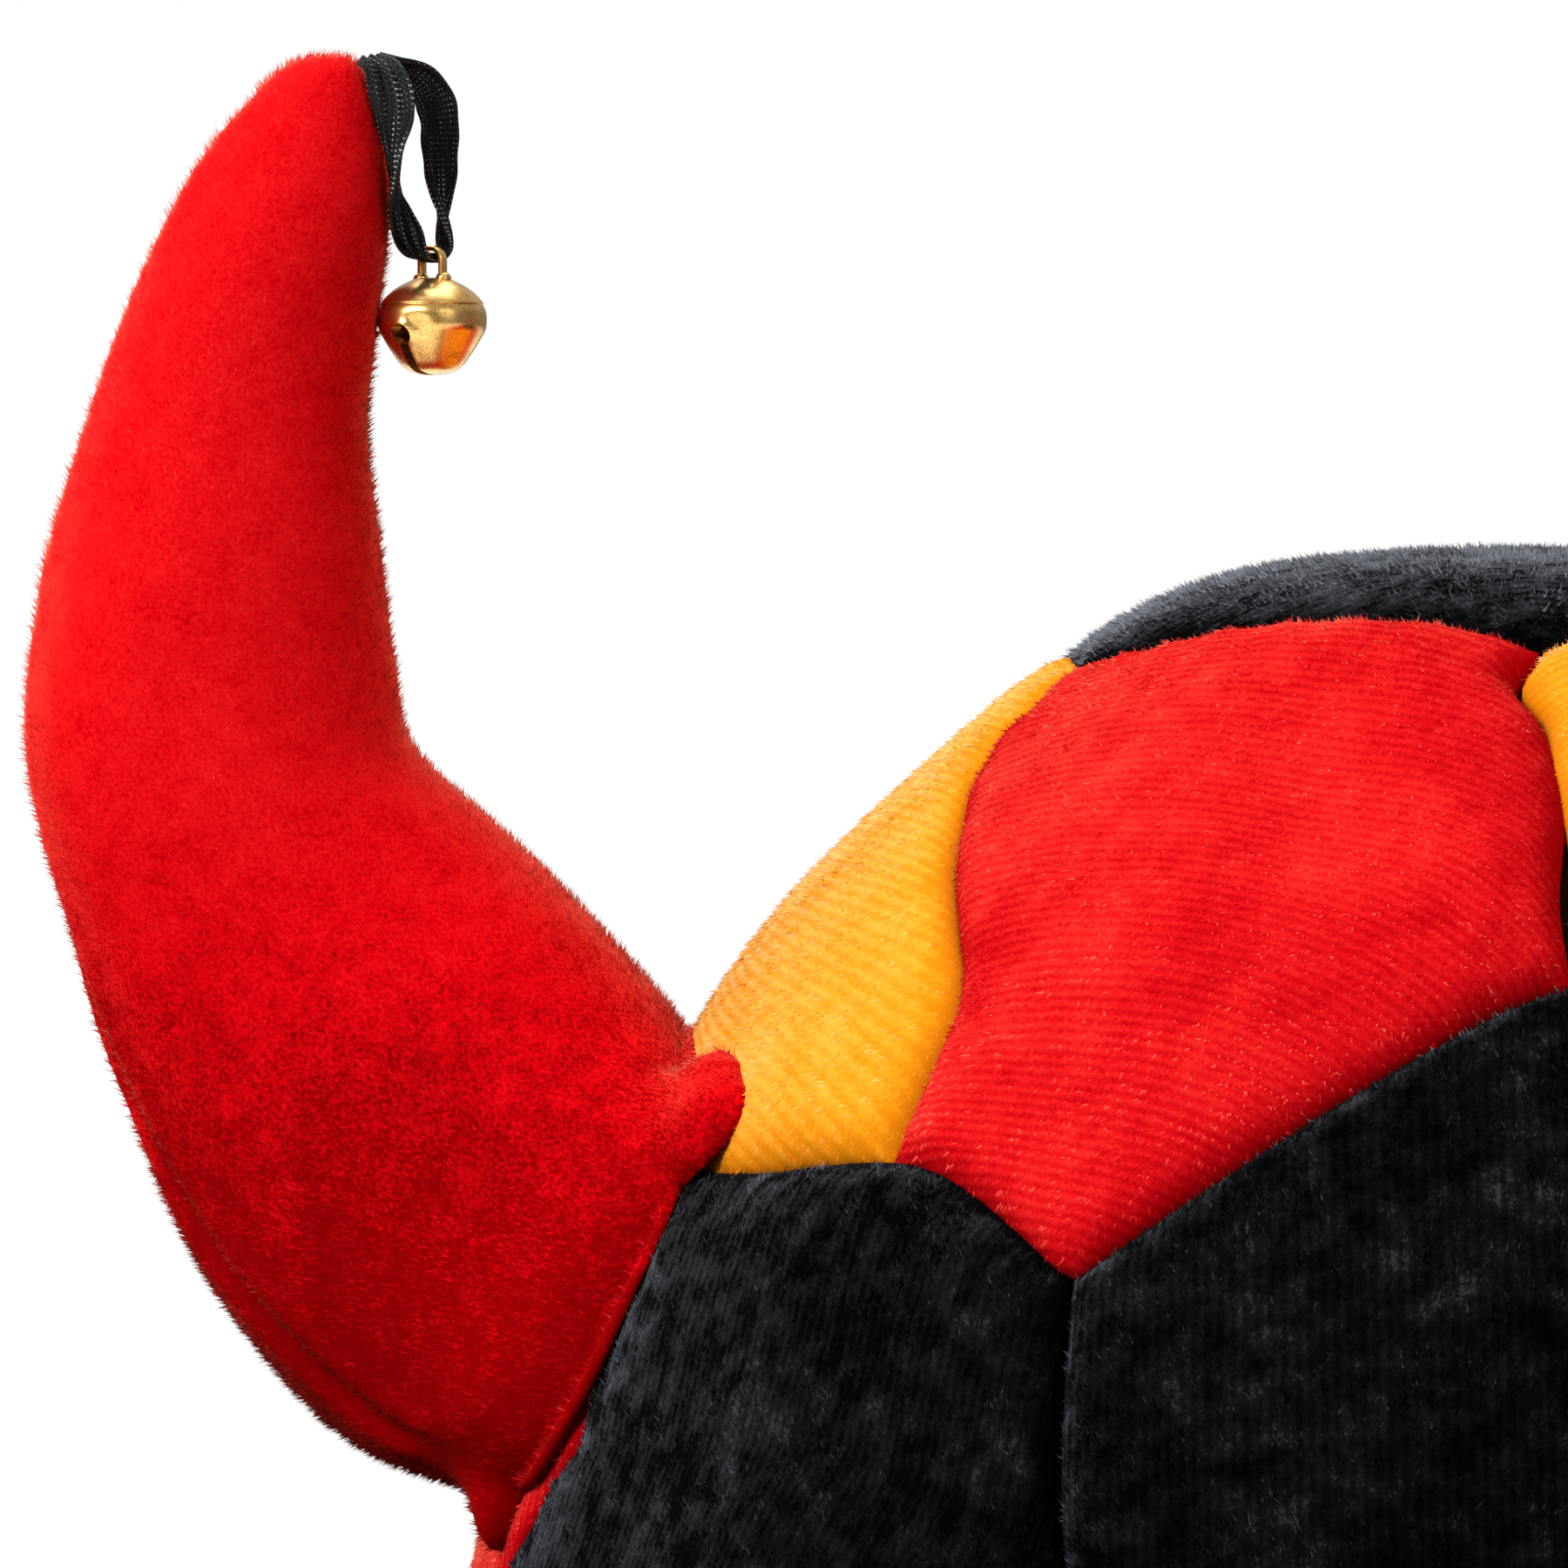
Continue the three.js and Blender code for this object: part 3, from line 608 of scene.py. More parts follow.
class Cap(Panel):
    closed = True
    pile = CAP_PILE
    banding = 0.0
    roll = 4.5
    # Painted light: the cap's pile tone is raised, standing in for the top light it catches
    lift = 0.3

    def place(self, across, up):
        angle = across * 360
        return angle, cap_share(angle) * (1 - up)

    def grain(self, across, up):
        return crown(*self.place(across, up), 0) * (1, 1, 0)


def closer_at_ends(share):
    return lerp(share, (1 - np.cos(np.pi * share)) / 2, SEAM_CROWDING)


def linked(name, data):
    piece = bpy.data.objects.new(name, data)
    bpy.context.scene.collection.objects.link(piece)
    return piece


def mesh_object(name, bm):
    mesh = bpy.data.meshes.new(name)
    bm.to_mesh(mesh)
    bm.free()
    return linked(name, mesh)


def move_to(verts, points):
    for vert, point in zip(verts, points * MM):
        vert.co = point


def unit_grid(columns, rows):
    """Grid to be shaped, with the place of each corner along its two sides from 0 to 1."""
    bm = bmesh.new()
    bmesh.ops.create_grid(bm, x_segments=columns, y_segments=rows, size=0.5)
    places = np.array([vert.co for vert in bm.verts]) + 0.5
    return bm, places[:, 0], places[:, 1]


def seal(bm):
    """Merges doubled corners, closes open ends and turns every face outwards."""
    bmesh.ops.remove_doubles(bm, verts=bm.verts, dist=MERGE * MM)
    open_edges = [edge for edge in bm.edges if edge.is_boundary]
    if open_edges:
        ends = bmesh.ops.holes_fill(bm, edges=open_edges)["faces"]
        bmesh.ops.poke(bm, faces=ends)
    bmesh.ops.recalc_face_normals(bm, faces=bm.faces)


def drop_layers(bm, *layers):
    for name in layers:
        bm.verts.layers.float.remove(bm.verts.layers.float[name])


def panel_cloth(panel):
    """Cloth of one panel with its backing, and the area of its front."""
    bm, across, up = unit_grid(CLOTH_FACES, CLOTH_FACES)
    across_of = bm.verts.layers.float.new("across")
    up_of = bm.verts.layers.float.new("up")
    grain_of = bm.verts.layers.float_vector.new("grain")
    tone_of = bm.verts.layers.float.new("tone")
    if not panel.closed:
        across = closer_at_ends(across)
    up = closer_at_ends(up)
    # Painted shade: the cloth under the pile is toned darker than the strands, and darker still in the
    # valleys of the seams
    tones = CLOTH_SHADED_TONE - panel.seam_shade(across, up)
    for vert, a, u, grain, tone in zip(bm.verts, across, up, panel.grain(across, up), tones):
        vert[across_of] = a
        vert[up_of] = u
        vert[grain_of] = grain * MM
        vert[tone_of] = tone
    move_to(bm.verts, panel.surface(across, up))
    bmesh.ops.remove_doubles(bm, verts=bm.verts, dist=MERGE * MM)
    area = sum(face.calc_area() for face in bm.faces)
    made = bmesh.ops.extrude_face_region(bm, geom=bm.faces[:], use_keep_orig=True)
    inner = [item for item in made["geom"] if isinstance(item, bmesh.types.BMVert)]
    inner_across = np.array([vert[across_of] for vert in inner])
    inner_up = np.array([vert[up_of] for vert in inner])
    move_to(inner, panel.backing(inner_across, inner_up))
    bmesh.ops.recalc_face_normals(bm, faces=bm.faces)
    hidden = set(inner)
    uv_of = bm.loops.layers.uv.new("OFBake")
    for face in bm.faces:
        inside = all(vert in hidden for vert in face.verts)
        face.material_index = int(inside)
        face.smooth = True
        first, size = BACK_MAP if inside else FRONT_MAP
        for loop in face.loops:
            along = loop.vert[across_of]
            height = loop.vert[up_of]
            if panel.closed:
                along = 0.5 + loop.vert.co.x / (MM * CAP_MAP_WIDTH)
                height = 0.5 + loop.vert.co.y / (MM * CAP_MAP_WIDTH * DEPTH_RATIO)
            loop[uv_of].uv = (first + size * along, MAP_UP[0] + MAP_UP[1] * height)
    drop_layers(bm, "across", "up")
    return mesh_object(panel.name + "_cloth", bm), area


def cut_size(panel):
    """Widest and longest reach of a panel's cut over its own surface, in metres."""
    steps = np.linspace(0, 1, CUT_STEPS)
    rows = panel.surface(*np.meshgrid(steps, steps))
    across = np.linalg.norm(np.diff(rows, axis=1), axis=-1).sum(1).max()
    up = np.linalg.norm(np.diff(rows, axis=0), axis=-1).sum(0).max()
    if panel.closed:
        across = 2 * up
        up = across * DEPTH_RATIO / MEAN_RATIO
    return across * MM, up * MM


def pile_tones(roots, spec, rng):
    brushed = 0.5 + 0.5 * patch_noise(roots)
    even = spec["middle"] + spec["patch"] * brushed + spec["tuft"] * tuft_noise(roots)
    return even + rng.normal(0, spec["strand"], len(roots))


def strands(roots, normals, naps, spec, tones, rng):
    """Corners, corner normals and corner tones of thin strands along the nap, a face on each side."""
    count = len(roots)
    stray = STRAND_STRAY
    lean = stray["lean_patch"] * patch_noise(roots + 40) + rng.normal(0, stray["lean"], count)
    lean = np.radians(spec["lean"] + lean)[:, None]
    swing = stray["swing_patch"] * patch_noise(roots) + rng.normal(0, stray["swing"], count)
    swing = np.radians(swing)[:, None]
    heading = naps * np.cos(swing) + np.cross(normals, naps) * np.sin(swing)
    direction = unit(normals * np.cos(lean) + heading * np.sin(lean))
    twist = np.radians(rng.normal(0, stray["twist"], count))[:, None]
    edge = unit(np.cross(direction, normals))
    edge = edge * np.cos(twist) + np.cross(direction, edge) * np.sin(twist)
    length = spec["length"] * rng.uniform(*STRAND_LENGTHS, count)[:, None]
    half = spec["width"] / 2 * rng.uniform(*STRAND_WIDTHS, count)[:, None]
    sunk = roots - normals * STRAND_SUNK
    corners = np.stack([sunk - edge * half, sunk + edge * half, sunk + direction * length], 1)
    facing = unit(np.cross(corners[:, 1] - corners[:, 0], corners[:, 2] - corners[:, 0]))
    turned = dot(facing, normals)[:, 0] < 0
    corners[turned] = corners[turned][:, [1, 0, 2]]
    facing[turned] *= -1
    soft = normals + STRAND_SHADING["face"] * facing + STRAND_SHADING["stray"] * rng.normal(size=(count, 3))
    soft = unit(soft)
    shading = np.stack([soft, soft, unit(soft + STRAND_SHADING["tip"] * direction)], 1)
    # Painted shade: each strand's root is darker than its tip
    shades = np.stack([tones - ROOT_SHADE, tones - ROOT_SHADE, tones], 1)
    behind = corners[:, [1, 0, 2]].copy()
    behind[:, :2] -= STRAND_THICK * facing[:, None]
    return np.concatenate([corners, behind]), np.tile(shading, (2, 1, 1)), np.tile(shades, (2, 1))


def strand_object(name, corners, shading, shades, spots):
    """One mesh of strands; spots are their places on the bake's map."""
    count = len(corners)
    spots = np.tile(spots, (2, 1))
    mesh = bpy.data.meshes.new(name)
    mesh.vertices.add(3 * count)
    mesh.vertices.foreach_set("co", (corners * MM).astype(np.float32).ravel())
    mesh.loops.add(3 * count)
    mesh.loops.foreach_set("vertex_index", np.arange(3 * count, dtype=np.int32))
    mesh.polygons.add(count)
    mesh.polygons.foreach_set("loop_start", np.arange(0, 3 * count, 3, dtype=np.int32))
    mesh.update(calc_edges=True)
    tone = mesh.attributes.new("tone", "FLOAT", "POINT")
    tone.data.foreach_set("value", shades.astype(np.float32).ravel())
    uv = mesh.uv_layers.new(name="OFBake")
    uv.uv.foreach_set("vector", (spots[:, None] + np.array(STRAND_MAP)).astype(np.float32).ravel())
    mesh.normals_split_custom_set_from_vertices(shading.reshape(-1, 3))
    pile = linked(name, mesh)
    pile.visible_shadow = False
    pile.shadow_terminator_geometry_offset = 0.0
    return pile


def panel_pile(panel, area, rng):
    """Pile of one panel, its roots in knitted rows."""
    wanted = int(area / MM**2 * panel.pile["density"])
    tries = wanted * PILE_TRIES
    across = rng.uniform(0, 1, tries)
    up = rng.uniform(0.004, 0.996, tries)
    width, length = panel.spans(across, up)
    kept = rng.uniform(0, (width * length).max(), tries) < width * length
    across, up = across[kept], up[kept]
    grain = panel.grain(across, up)
    row = grain[:, 1] / KNIT_PITCH + KNIT_SWAY * tuft_noise(grain * KNIT_SWAY)
    in_row = 0.5 + 0.5 * np.cos(2 * np.pi * row)
    kept = rng.uniform(0, 1, len(across)) < 1 - panel.banding * (1 - in_row**1.5)
    across, up, crest = across[kept][:wanted], up[kept][:wanted], in_row[kept][:wanted]
    roots = panel.surface(across, up)
    normals, rising = panel.directions(across, up)
    naps = unit(rising - normals * dot(rising, normals)) * (1 if panel.nap_up else -1)
    tones = pile_tones(roots, PANEL_TONE, rng) + ROW_TONE * panel.banding * (crest**2 - 0.4)
    # Painted light on the cap by its lift, painted shade in the valleys of the seams
    tones += panel.lift - panel.seam_shade(across, up)
    corners, shading, shades = strands(roots, normals, naps, panel.pile, tones, rng)
    corners[..., 2] = np.maximum(corners[..., 2], 0)
    spots = np.stack([0.01 + 0.98 * across, 0.01 + 0.98 * up], -1)
    return strand_object(panel.name + "_pile", corners, shading, shades, spots)


# Horns
HORN = smooth_curve(HORN_SECTIONS, 20)


def horn_point(around, along):
    """Points on the left horn: around from the sewn groove in turns, along from the dome to the tip."""
    outer_x, outer_z, inner_x, inner_z, depth, square, seam = along_curve(HORN, along)
    zero = np.zeros_like(along)
    middle = np.stack([(outer_x + inner_x) / 2, zero, (outer_z + inner_z) / 2], -1)
    to_outer = np.stack([(outer_x - inner_x) / 2, zero, (outer_z - inner_z) / 2], -1)
    turn = np.radians(seam) + 2 * np.pi * around
    arm = to_outer * signed_power(np.cos(turn), 2 / square)[..., None]
    arm[..., 1] -= depth * signed_power(np.sin(turn), 2 / square)
    radius = np.linalg.norm(arm, axis=-1)
    away = np.minimum(around, 1 - around) * 2 * np.pi * radius
    slim = np.clip(radius / HORN_SLIM, 0, 1)
    groove = HORN_GROOVE * falloff(away, HORN_GROOVE_HALF)
    welt = HORN_WELT * falloff(away - HORN_WELT_AWAY, HORN_WELT_HALF)
    point = middle + arm
    uneven = HORN_WAVE * (wide_noise(point * 1.4) + 0.5 * middle_noise(point))
    return middle + unit(arm) * (radius + slim * (welt + uneven - groove))[..., None], middle


def apply_steps(piece):
    graph = bpy.context.evaluated_depsgraph_get()
    made = bpy.data.meshes.new_from_object(piece.evaluated_get(graph))
    made.materials.clear()
    piece.modifiers.clear()
    piece.data = made


def boolean(piece, other, operation):
    """Joins or cuts a piece with another, which is used up."""
    step = piece.modifiers.new("join", "BOOLEAN")
    step.operation = operation
    step.solver = "MANIFOLD"
    step.object = other
    apply_steps(piece)
    bpy.data.objects.remove(other)


def even_mesh(piece):
    """Even faces all over, so that joined shapes can be smoothed into one."""
    step = piece.modifiers.new("even", "REMESH")
    step.mode = "VOXEL"
    step.voxel_size = EVEN_FACE * MM
    apply_steps(piece)


def horn_loft():
    bm, even, along = unit_grid(HORN_COLUMNS, HORN_ROWS)
    around = even - HORN_CROWDING * np.sin(2 * np.pi * even) / (2 * np.pi)
    points, middle = horn_point(around, along)
    clear = np.clip(above_dome(points) / HORN_TUCK_REACH, 0, 1)
    inwards = unit(middle - points)
    move_to(bm.verts, points + inwards * (HORN_TUCK * (1 - clear) ** 2)[:, None])
    seal(bm)
    return mesh_object("horn_left_plush", bm)


def horn_roll():
    """Rolled edge of the left horn, a tube along the line where the horn meets the dome, and that line."""
    around = np.linspace(0, 1, ROLL_STEPS, endpoint=False)
    along = np.linspace(0, ROLL_REACH, ROLL_STEPS)
    points, _ = horn_point(*np.meshgrid(around, along, indexing="ij"))
    clear = above_dome(points.reshape(-1, 3)).reshape(points.shape[:2])
    seam = points[np.arange(ROLL_STEPS), (clear > PANEL_PUFF).argmax(1)]
    for _ in range(ROLL_ROUNDS):
        seam = (np.roll(seam, 1, 0) + 2 * seam + np.roll(seam, -1, 0)) / 4
    run = unit(np.roll(seam, -1, 0) - np.roll(seam, 1, 0))
    away = seam - seam.mean(0)
    away = unit(away - run * dot(away, run))
    lift = np.cross(run, away)
    bm, steps, turns = unit_grid(ROLL_STEPS, ROLL_SIDES)
    step = np.round(steps * ROLL_STEPS).astype(int) % ROLL_STEPS
    turn = 2 * np.pi * turns
    radius = HORN_ROLL * (1 + ROLL_RIPPLE * np.sin(7 * turn + 0.9 * step))
    arm = away[step] * np.cos(turn)[:, None] + lift[step] * np.sin(turn)[:, None]
    move_to(bm.verts, seam[step] + arm * radius[:, None])
    seal(bm)
    return mesh_object("horn_roll", bm), seam


def horn_fold(row, angle, tilt):
    """Soft fold of cloth on the rolled edge, an egg that stands on the dome, and its seat."""
    share = share_at_height(row["height"])
    seat = crown(angle, share, 0)
    outward = unit(crown(angle, share, 1) - seat)
    sideways = unit(np.cross(outward, (0, 0, 1)))
    upward = np.cross(sideways, outward)
    along = upward * math.cos(math.radians(tilt)) + sideways * math.sin(math.radians(tilt))
    bm = bmesh.new()
    bmesh.ops.create_uvsphere(bm, u_segments=28, v_segments=18, radius=1)
    egg = np.array([vert.co for vert in bm.verts])
    long, wide, high = row["half"]
    across = np.cross(outward, along) * egg[:, :1] * wide * (1 + FOLD_WIDENING * egg[:, 2:])
    middle = seat + outward * row["out"]
    move_to(bm.verts, middle + along * egg[:, 2:] * long + across + outward * egg[:, 1:2] * high)
    bmesh.ops.recalc_face_normals(bm, faces=bm.faces)
    return mesh_object("horn_fold", bm), seat


def soften(piece, seam, reach, rounds):
    """Rounds the creases near a line or a few points, as soft cloth does."""
    bm = bmesh.new()
    bm.from_mesh(piece.data)
    places = np.array([vert.co for vert in bm.verts]) / MM
    _, away = nearest(seam, places)
    soft = [vert for vert, near in zip(bm.verts, away < reach) if near]
    for _ in range(rounds):
        bmesh.ops.smooth_vert(bm, verts=soft, factor=0.5, use_axis_x=True, use_axis_y=True, use_axis_z=True)
    bm.to_mesh(piece.data)
    bm.free()


def dome_block(offset):
    """Solid dome that stands off from the panels, to cut the horns' seats."""
    bm, turns, share = unit_grid(120, 60)
    move_to(bm.verts, crown(360 * turns, share, offset))
    seal(bm)
    return mesh_object("dome_block", bm)


def read_rows(items, key, kind):
    rows = np.empty(3 * len(items), kind)
    items.foreach_get(key, rows)
    return rows.reshape(-1, 3)


def horn_plush():
    horn = horn_loft()
    seats = []
    for row in HORN_FOLDS:
        front = row["angle"], row["tilt"]
        back = 180 - row["angle"], -row["tilt"]
        for angle, tilt in (front, back):
            fold, seat = horn_fold(row, angle, tilt)
            boolean(horn, fold, "UNION")
            seats.append(seat)
    even_mesh(horn)
    soften(horn, np.array(seats), FOLD_REACH, FOLD_ROUNDS)
    roll, seam = horn_roll()
    boolean(horn, roll, "UNION")
    soften(horn, seam, SOFTEN_REACH, SOFTEN_ROUNDS)
    boolean(horn, dome_block(PANEL_PUFF + HORN_SEAT), "DIFFERENCE")
    horn.data.shade_smooth()
    places = read_rows(horn.data.vertices, "co", np.float32).astype(float) / MM
    # Painted shade: the plush's tone, below the strands', lowered in the groove and towards the foot
    tone = horn.data.attributes.new("tone", "FLOAT", "POINT")
    tone.data.foreach_set("value", (PLUSH_SHADED_TONE - horn_painted_shade(places)).astype(np.float32))
    return horn


def horn_painted_shade(points):
    """Painted shade: how much darker the plush's tone is made in the sewn groove and towards the foot."""
    line, _ = horn_point(np.zeros(240), np.linspace(0.05, 1, 240))
    _, away = nearest(line, points)
    groove = HORN_GROOVE_SHADE * falloff(away, HORN_GROOVE_HALF)
    return HORN_FOOT_SHADE * (1 - smoothstep(points[:, 2], HORN_FOOT_SHADE_HEIGHTS)) + groove


def horn_pile(horn, rng):
    """Corners, normals, tones and map places of the left horn's pile."""
    mesh = horn.data
    mesh.calc_loop_triangles()
    points = read_rows(mesh.vertices, "co", np.float32).astype(float) / MM
    facing = read_rows(mesh.vertex_normals, "vector", np.float32).astype(float)
    corners = read_rows(mesh.loop_triangles, "vertices", np.int32)
    a, b, c = points[corners[:, 0]], points[corners[:, 1]], points[corners[:, 2]]
    size = np.linalg.norm(np.cross(b - a, c - a), axis=1) / 2
    seat = above_dome((a + b + c) / 3) < PANEL_PUFF + HORN_SEAT + PILE_SEAT
    size[seat] = 0
    count = int(size.sum() * PLUSH_PILE["density"])
    chosen = rng.choice(len(size), count, p=size / size.sum())
    weights = rng.dirichlet((1, 1, 1), count)
    picked = corners[chosen]
    roots = (points[picked] * weights[..., None]).sum(1)
    normals = unit((facing[picked] * weights[..., None]).sum(1))
    line = np.stack([(HORN[:, 0] + HORN[:, 2]) / 2, np.zeros(len(HORN)), (HORN[:, 1] + HORN[:, 3]) / 2], -1)
    rows, _ = nearest(line, roots)
    tip_ward = unit(np.gradient(line, axis=0))[rows]
    naps = unit(tip_ward - normals * dot(tip_ward, normals))
    # Painted shade in the groove and towards the foot
    tones = pile_tones(roots, HORN_TONE, rng) - horn_painted_shade(roots)
    turns = np.arctan2(roots[:, 1], roots[:, 0] - HORN_AXIS) / (2 * np.pi)
    spots = np.clip(np.stack([0.5 + turns, rows / len(line)], -1), 0.01, 0.99)
    return *strands(roots, normals, naps, PLUSH_PILE, tones, rng), spots


def mirrored(piece, name):
    """The same piece on the other side of the hat."""
    mesh = piece.data.copy()
    mesh.name = name
    mesh.transform(Matrix.Scale(-1, 4, (1, 0, 0)))
    mesh.flip_normals()
    return linked(name, mesh)


# Ribbon
def ribbon_loop():
    bm, columns, along = unit_grid(RIBBON_COLUMNS, RIBBON_ROWS)
    uv_of = bm.loops.layers.uv.new("OFBake")
    across_of = bm.verts.layers.float.new("across")
    along_of = bm.verts.layers.float.new("along")
    across = 2 * columns - 1
    for vert, a, u in zip(bm.verts, across, along):
        vert[across_of] = a
        vert[along_of] = u
    route = smooth_curve(RIBBON_ROUTE, 16)
    x, y, z, width, turn = along_curve(route, along)
    middle = np.stack([x, y, z], -1)
    run = unit(np.gradient(route[:, :3], axis=0))
    heading = unit(np.stack(along_curve(run, along), -1))
    turn = np.radians(turn)
    side = np.stack([np.cos(turn), np.sin(turn), np.zeros_like(turn)], -1)
    side = unit(side - heading * dot(side, heading))
    face = np.cross(heading, side)
    slack = np.sqrt(np.maximum(RIBBON_WIDTH**2 - width**2, 0))
    from_bail = np.linalg.norm(middle - np.array(BAIL_PLACE), axis=1)
    room = RIBBON_PLEAT_ROOM["growth"] * np.maximum(from_bail - RIBBON_PLEAT_ROOM["clear"], 0)
    room += RIBBON_PLEAT_ROOM["least"]
    pleat = np.minimum(RIBBON_PLEAT_HEIGHT * slack, room)
    pleat *= np.sin(np.pi * RIBBON_PLEATS * across + 5 * along)
    rib = RIBBON_RIB_HEIGHT * np.cos(np.pi * RIBBON_RIBS * across)
    frill = 1 + RIBBON_FRILL * np.sin(90 * along) * across**4
    move_to(bm.verts, middle + side * (width / 2 * across * frill)[:, None] + face * (pleat + rib)[:, None])
    bmesh.ops.recalc_face_normals(bm, faces=bm.faces)
    bmesh.ops.solidify(bm, geom=bm.faces[:], thickness=RIBBON_CLOTH * MM)
    bmesh.ops.recalc_face_normals(bm, faces=bm.faces)
    for ribbon_face in bm.faces:
        ribbon_face.smooth = True
        for loop in ribbon_face.loops:
            height = MAP_UP[0] + MAP_UP[1] * loop.vert[along_of]
            loop[uv_of].uv = (0.5 + MAP_UP[1] / 2 * loop.vert[across_of], height)
    drop_layers(bm, "across", "along")
    return mesh_object("ribbon_left_satin", bm)


# Bell
def spun_solid(name, profile, steps):
    """Closed solid of revolution from rows of height and radius, about the bell's own axis."""
    bm = bmesh.new()
    rows = [bm.verts.new((radius * MM, 0, (BELL_MIDDLE + up) * MM)) for up, radius in profile]
    edges = [bm.edges.new(pair) for pair in zip(rows, rows[1:])]
    bmesh.ops.spin(
        bm, geom=rows + edges, cent=(0, 0, 0), axis=(0, 0, 1), dvec=(0, 0, 0),
        angle=2 * math.pi, steps=steps, use_merge=True, use_duplicate=False)
    seal(bm)
    return mesh_object(name, bm)


def slot_cutter():
    bm = bmesh.new()
    bmesh.ops.create_cube(bm, size=CUTTER_SIZE * MM)
    bmesh.ops.scale(bm, verts=bm.verts, vec=(SLOT_WIDTH / CUTTER_SIZE, 1, 1))
    bmesh.ops.translate(bm, verts=bm.verts, vec=(0, 0, (BELL_MIDDLE + SLOT_TOP - CUTTER_SIZE / 2) * MM))
    return mesh_object("slot", bm)


def hole_cutter():
    bm = bmesh.new()
    radius = SLOT_HOLE_RADIUS * MM
    bmesh.ops.create_cone(
        bm, cap_ends=True, segments=40, radius1=radius, radius2=radius, depth=CUTTER_SIZE * MM)
    bmesh.ops.rotate(bm, verts=bm.verts, cent=(0, 0, 0), matrix=Matrix.Rotation(math.pi / 2, 3, "X"))
    bmesh.ops.translate(bm, verts=bm.verts, vec=(0, 0, (BELL_MIDDLE + SLOT_TOP) * MM))
    return mesh_object("hole", bm)


def bail_band():
    """Flat metal band bent into the bail, with a rounded section."""
    bm, turns, runs = unit_grid(16, 36)
    points = []
    leg = -BAIL_FOOT
    arch = math.pi * BAIL_RADIUS
    for turn, run in zip(2 * math.pi * turns, (2 * leg + arch) * runs):
        out = BAIL_HALF_THICK * signed_power(math.cos(turn), BAIL_ROUNDING)
        wide = BAIL_HALF_BAND * signed_power(math.sin(turn), BAIL_ROUNDING)
        bend = math.pi - min(max(run - leg, 0), arch) / BAIL_RADIUS
        below = max(leg - run, run - leg - arch, 0)
        reach = BAIL_RADIUS + out
        points.append((reach * math.cos(bend), wide, reach * math.sin(bend) - below))
    move_to(bm.verts, np.array(points))
    seal(bm)
    return mesh_object("bail", bm)


def bail_knob(side):
    bm = bmesh.new()
    bmesh.ops.create_icosphere(bm, subdivisions=4, radius=BAIL_KNOB * MM)
    bmesh.ops.scale(bm, verts=bm.verts, vec=(1, 1, BAIL_KNOB_SQUASH))
    x, y, z = BAIL_KNOB_PLACE
    bmesh.ops.translate(bm, verts=bm.verts, vec=Vector((side * x, y, z)) * MM)
    return mesh_object("knob", bm)


def brass_bell():
    profile = smooth_curve(BELL_PROFILE, 4)
    profile[[0, -1], 1] = 0
    bell = spun_solid("bell_left_brass", profile, BELL_STEPS)
    hollow = [
        (BELL_HOLLOW["height"] * up, max(BELL_HOLLOW["radius"] * radius - BELL_WALL, 0))
        for up, radius in BELL_PROFILE[1:-1]
    ]
    hollow = [(hollow[0][0], 0), *hollow, (hollow[-1][0], 0)]
    dent_bell(bell)
    for part in (bail_band(), bail_knob(-1), bail_knob(1)):
        boolean(bell, part, "UNION")
    for part in (spun_solid("hollow", hollow, BELL_HOLLOW["steps"]), slot_cutter(), hole_cutter()):
        boolean(bell, part, "DIFFERENCE")
    turn = Matrix.Rotation(math.radians(BELL_TURN), 4, "Z")
    bell.data.transform(Matrix.Translation(Vector(BAIL_PLACE) * MM) @ turn)
    bell.data.shade_smooth()
    bell.data.set_sharp_from_angle(angle=math.radians(BELL_CREASE))
    return bell


def dent_bell(bell):
    """Pressed dent beside the keyhole and a raised lip round the slot, on the front and the back."""
    for vert in bell.data.vertices:
        x, y, z = (value / MM for value in vert.co)
        up = z - BELL_MIDDLE
        radius = math.hypot(x, y)
        if radius < 0.3 or up > BELL_SHOULDER:
            continue
        away = math.hypot(x * -math.copysign(1, y) - BELL_DENT["x"], up - BELL_DENT["up"])
        dent = BELL_DENT["depth"] * falloff(away, BELL_DENT["reach"]) * (abs(y) > 2)
        to_hole = math.hypot(x, up - SLOT_TOP) - SLOT_HOLE_RADIUS
        to_slot = abs(x) - SLOT_WIDTH / 2 if up < SLOT_TOP else FAR
        lip = SLOT_LIP * falloff(max(min(to_hole, to_slot), 0), SLOT_LIP_REACH)
        vert.co.xy *= 1 + (lip - dent) / radius


# Materials
def set_inputs(node, values):
    """Gives each input a link from a socket, or a plain value."""
    for key, value in values.items():
        if isinstance(value, bpy.types.NodeSocket):
            node.id_data.links.new(value, node.inputs[key])
        else:
            node.inputs[key].default_value = value


def add_node(tree, kind, inputs=None, **settings):
    node = tree.nodes.new(kind)
    for key, value in settings.items():
        setattr(node, key, value)
    set_inputs(node, inputs or {})
    return node


def add_ramp(tree, source, stops):
    ramp = add_node(tree, "ShaderNodeValToRGB", {0: source})
    elements = ramp.color_ramp.elements
    for index, (position, colour) in enumerate(stops):
        element = elements[index] if index < 2 else elements.new(position)
        element.position = position
        element.color = (*colour, 1)
    return ramp.outputs[0]


def add_math(tree, operation, *values):
    return add_node(tree, "ShaderNodeMath", dict(enumerate(values)), operation=operation).outputs[0]


def add_noise(tree, vector, scale, detail=2.0, roughness=0.5):
    inputs = {"Vector": vector, "Scale": scale, "Detail": detail, "Roughness": roughness}
    return add_node(tree, "ShaderNodeTexNoise", inputs).outputs[0]


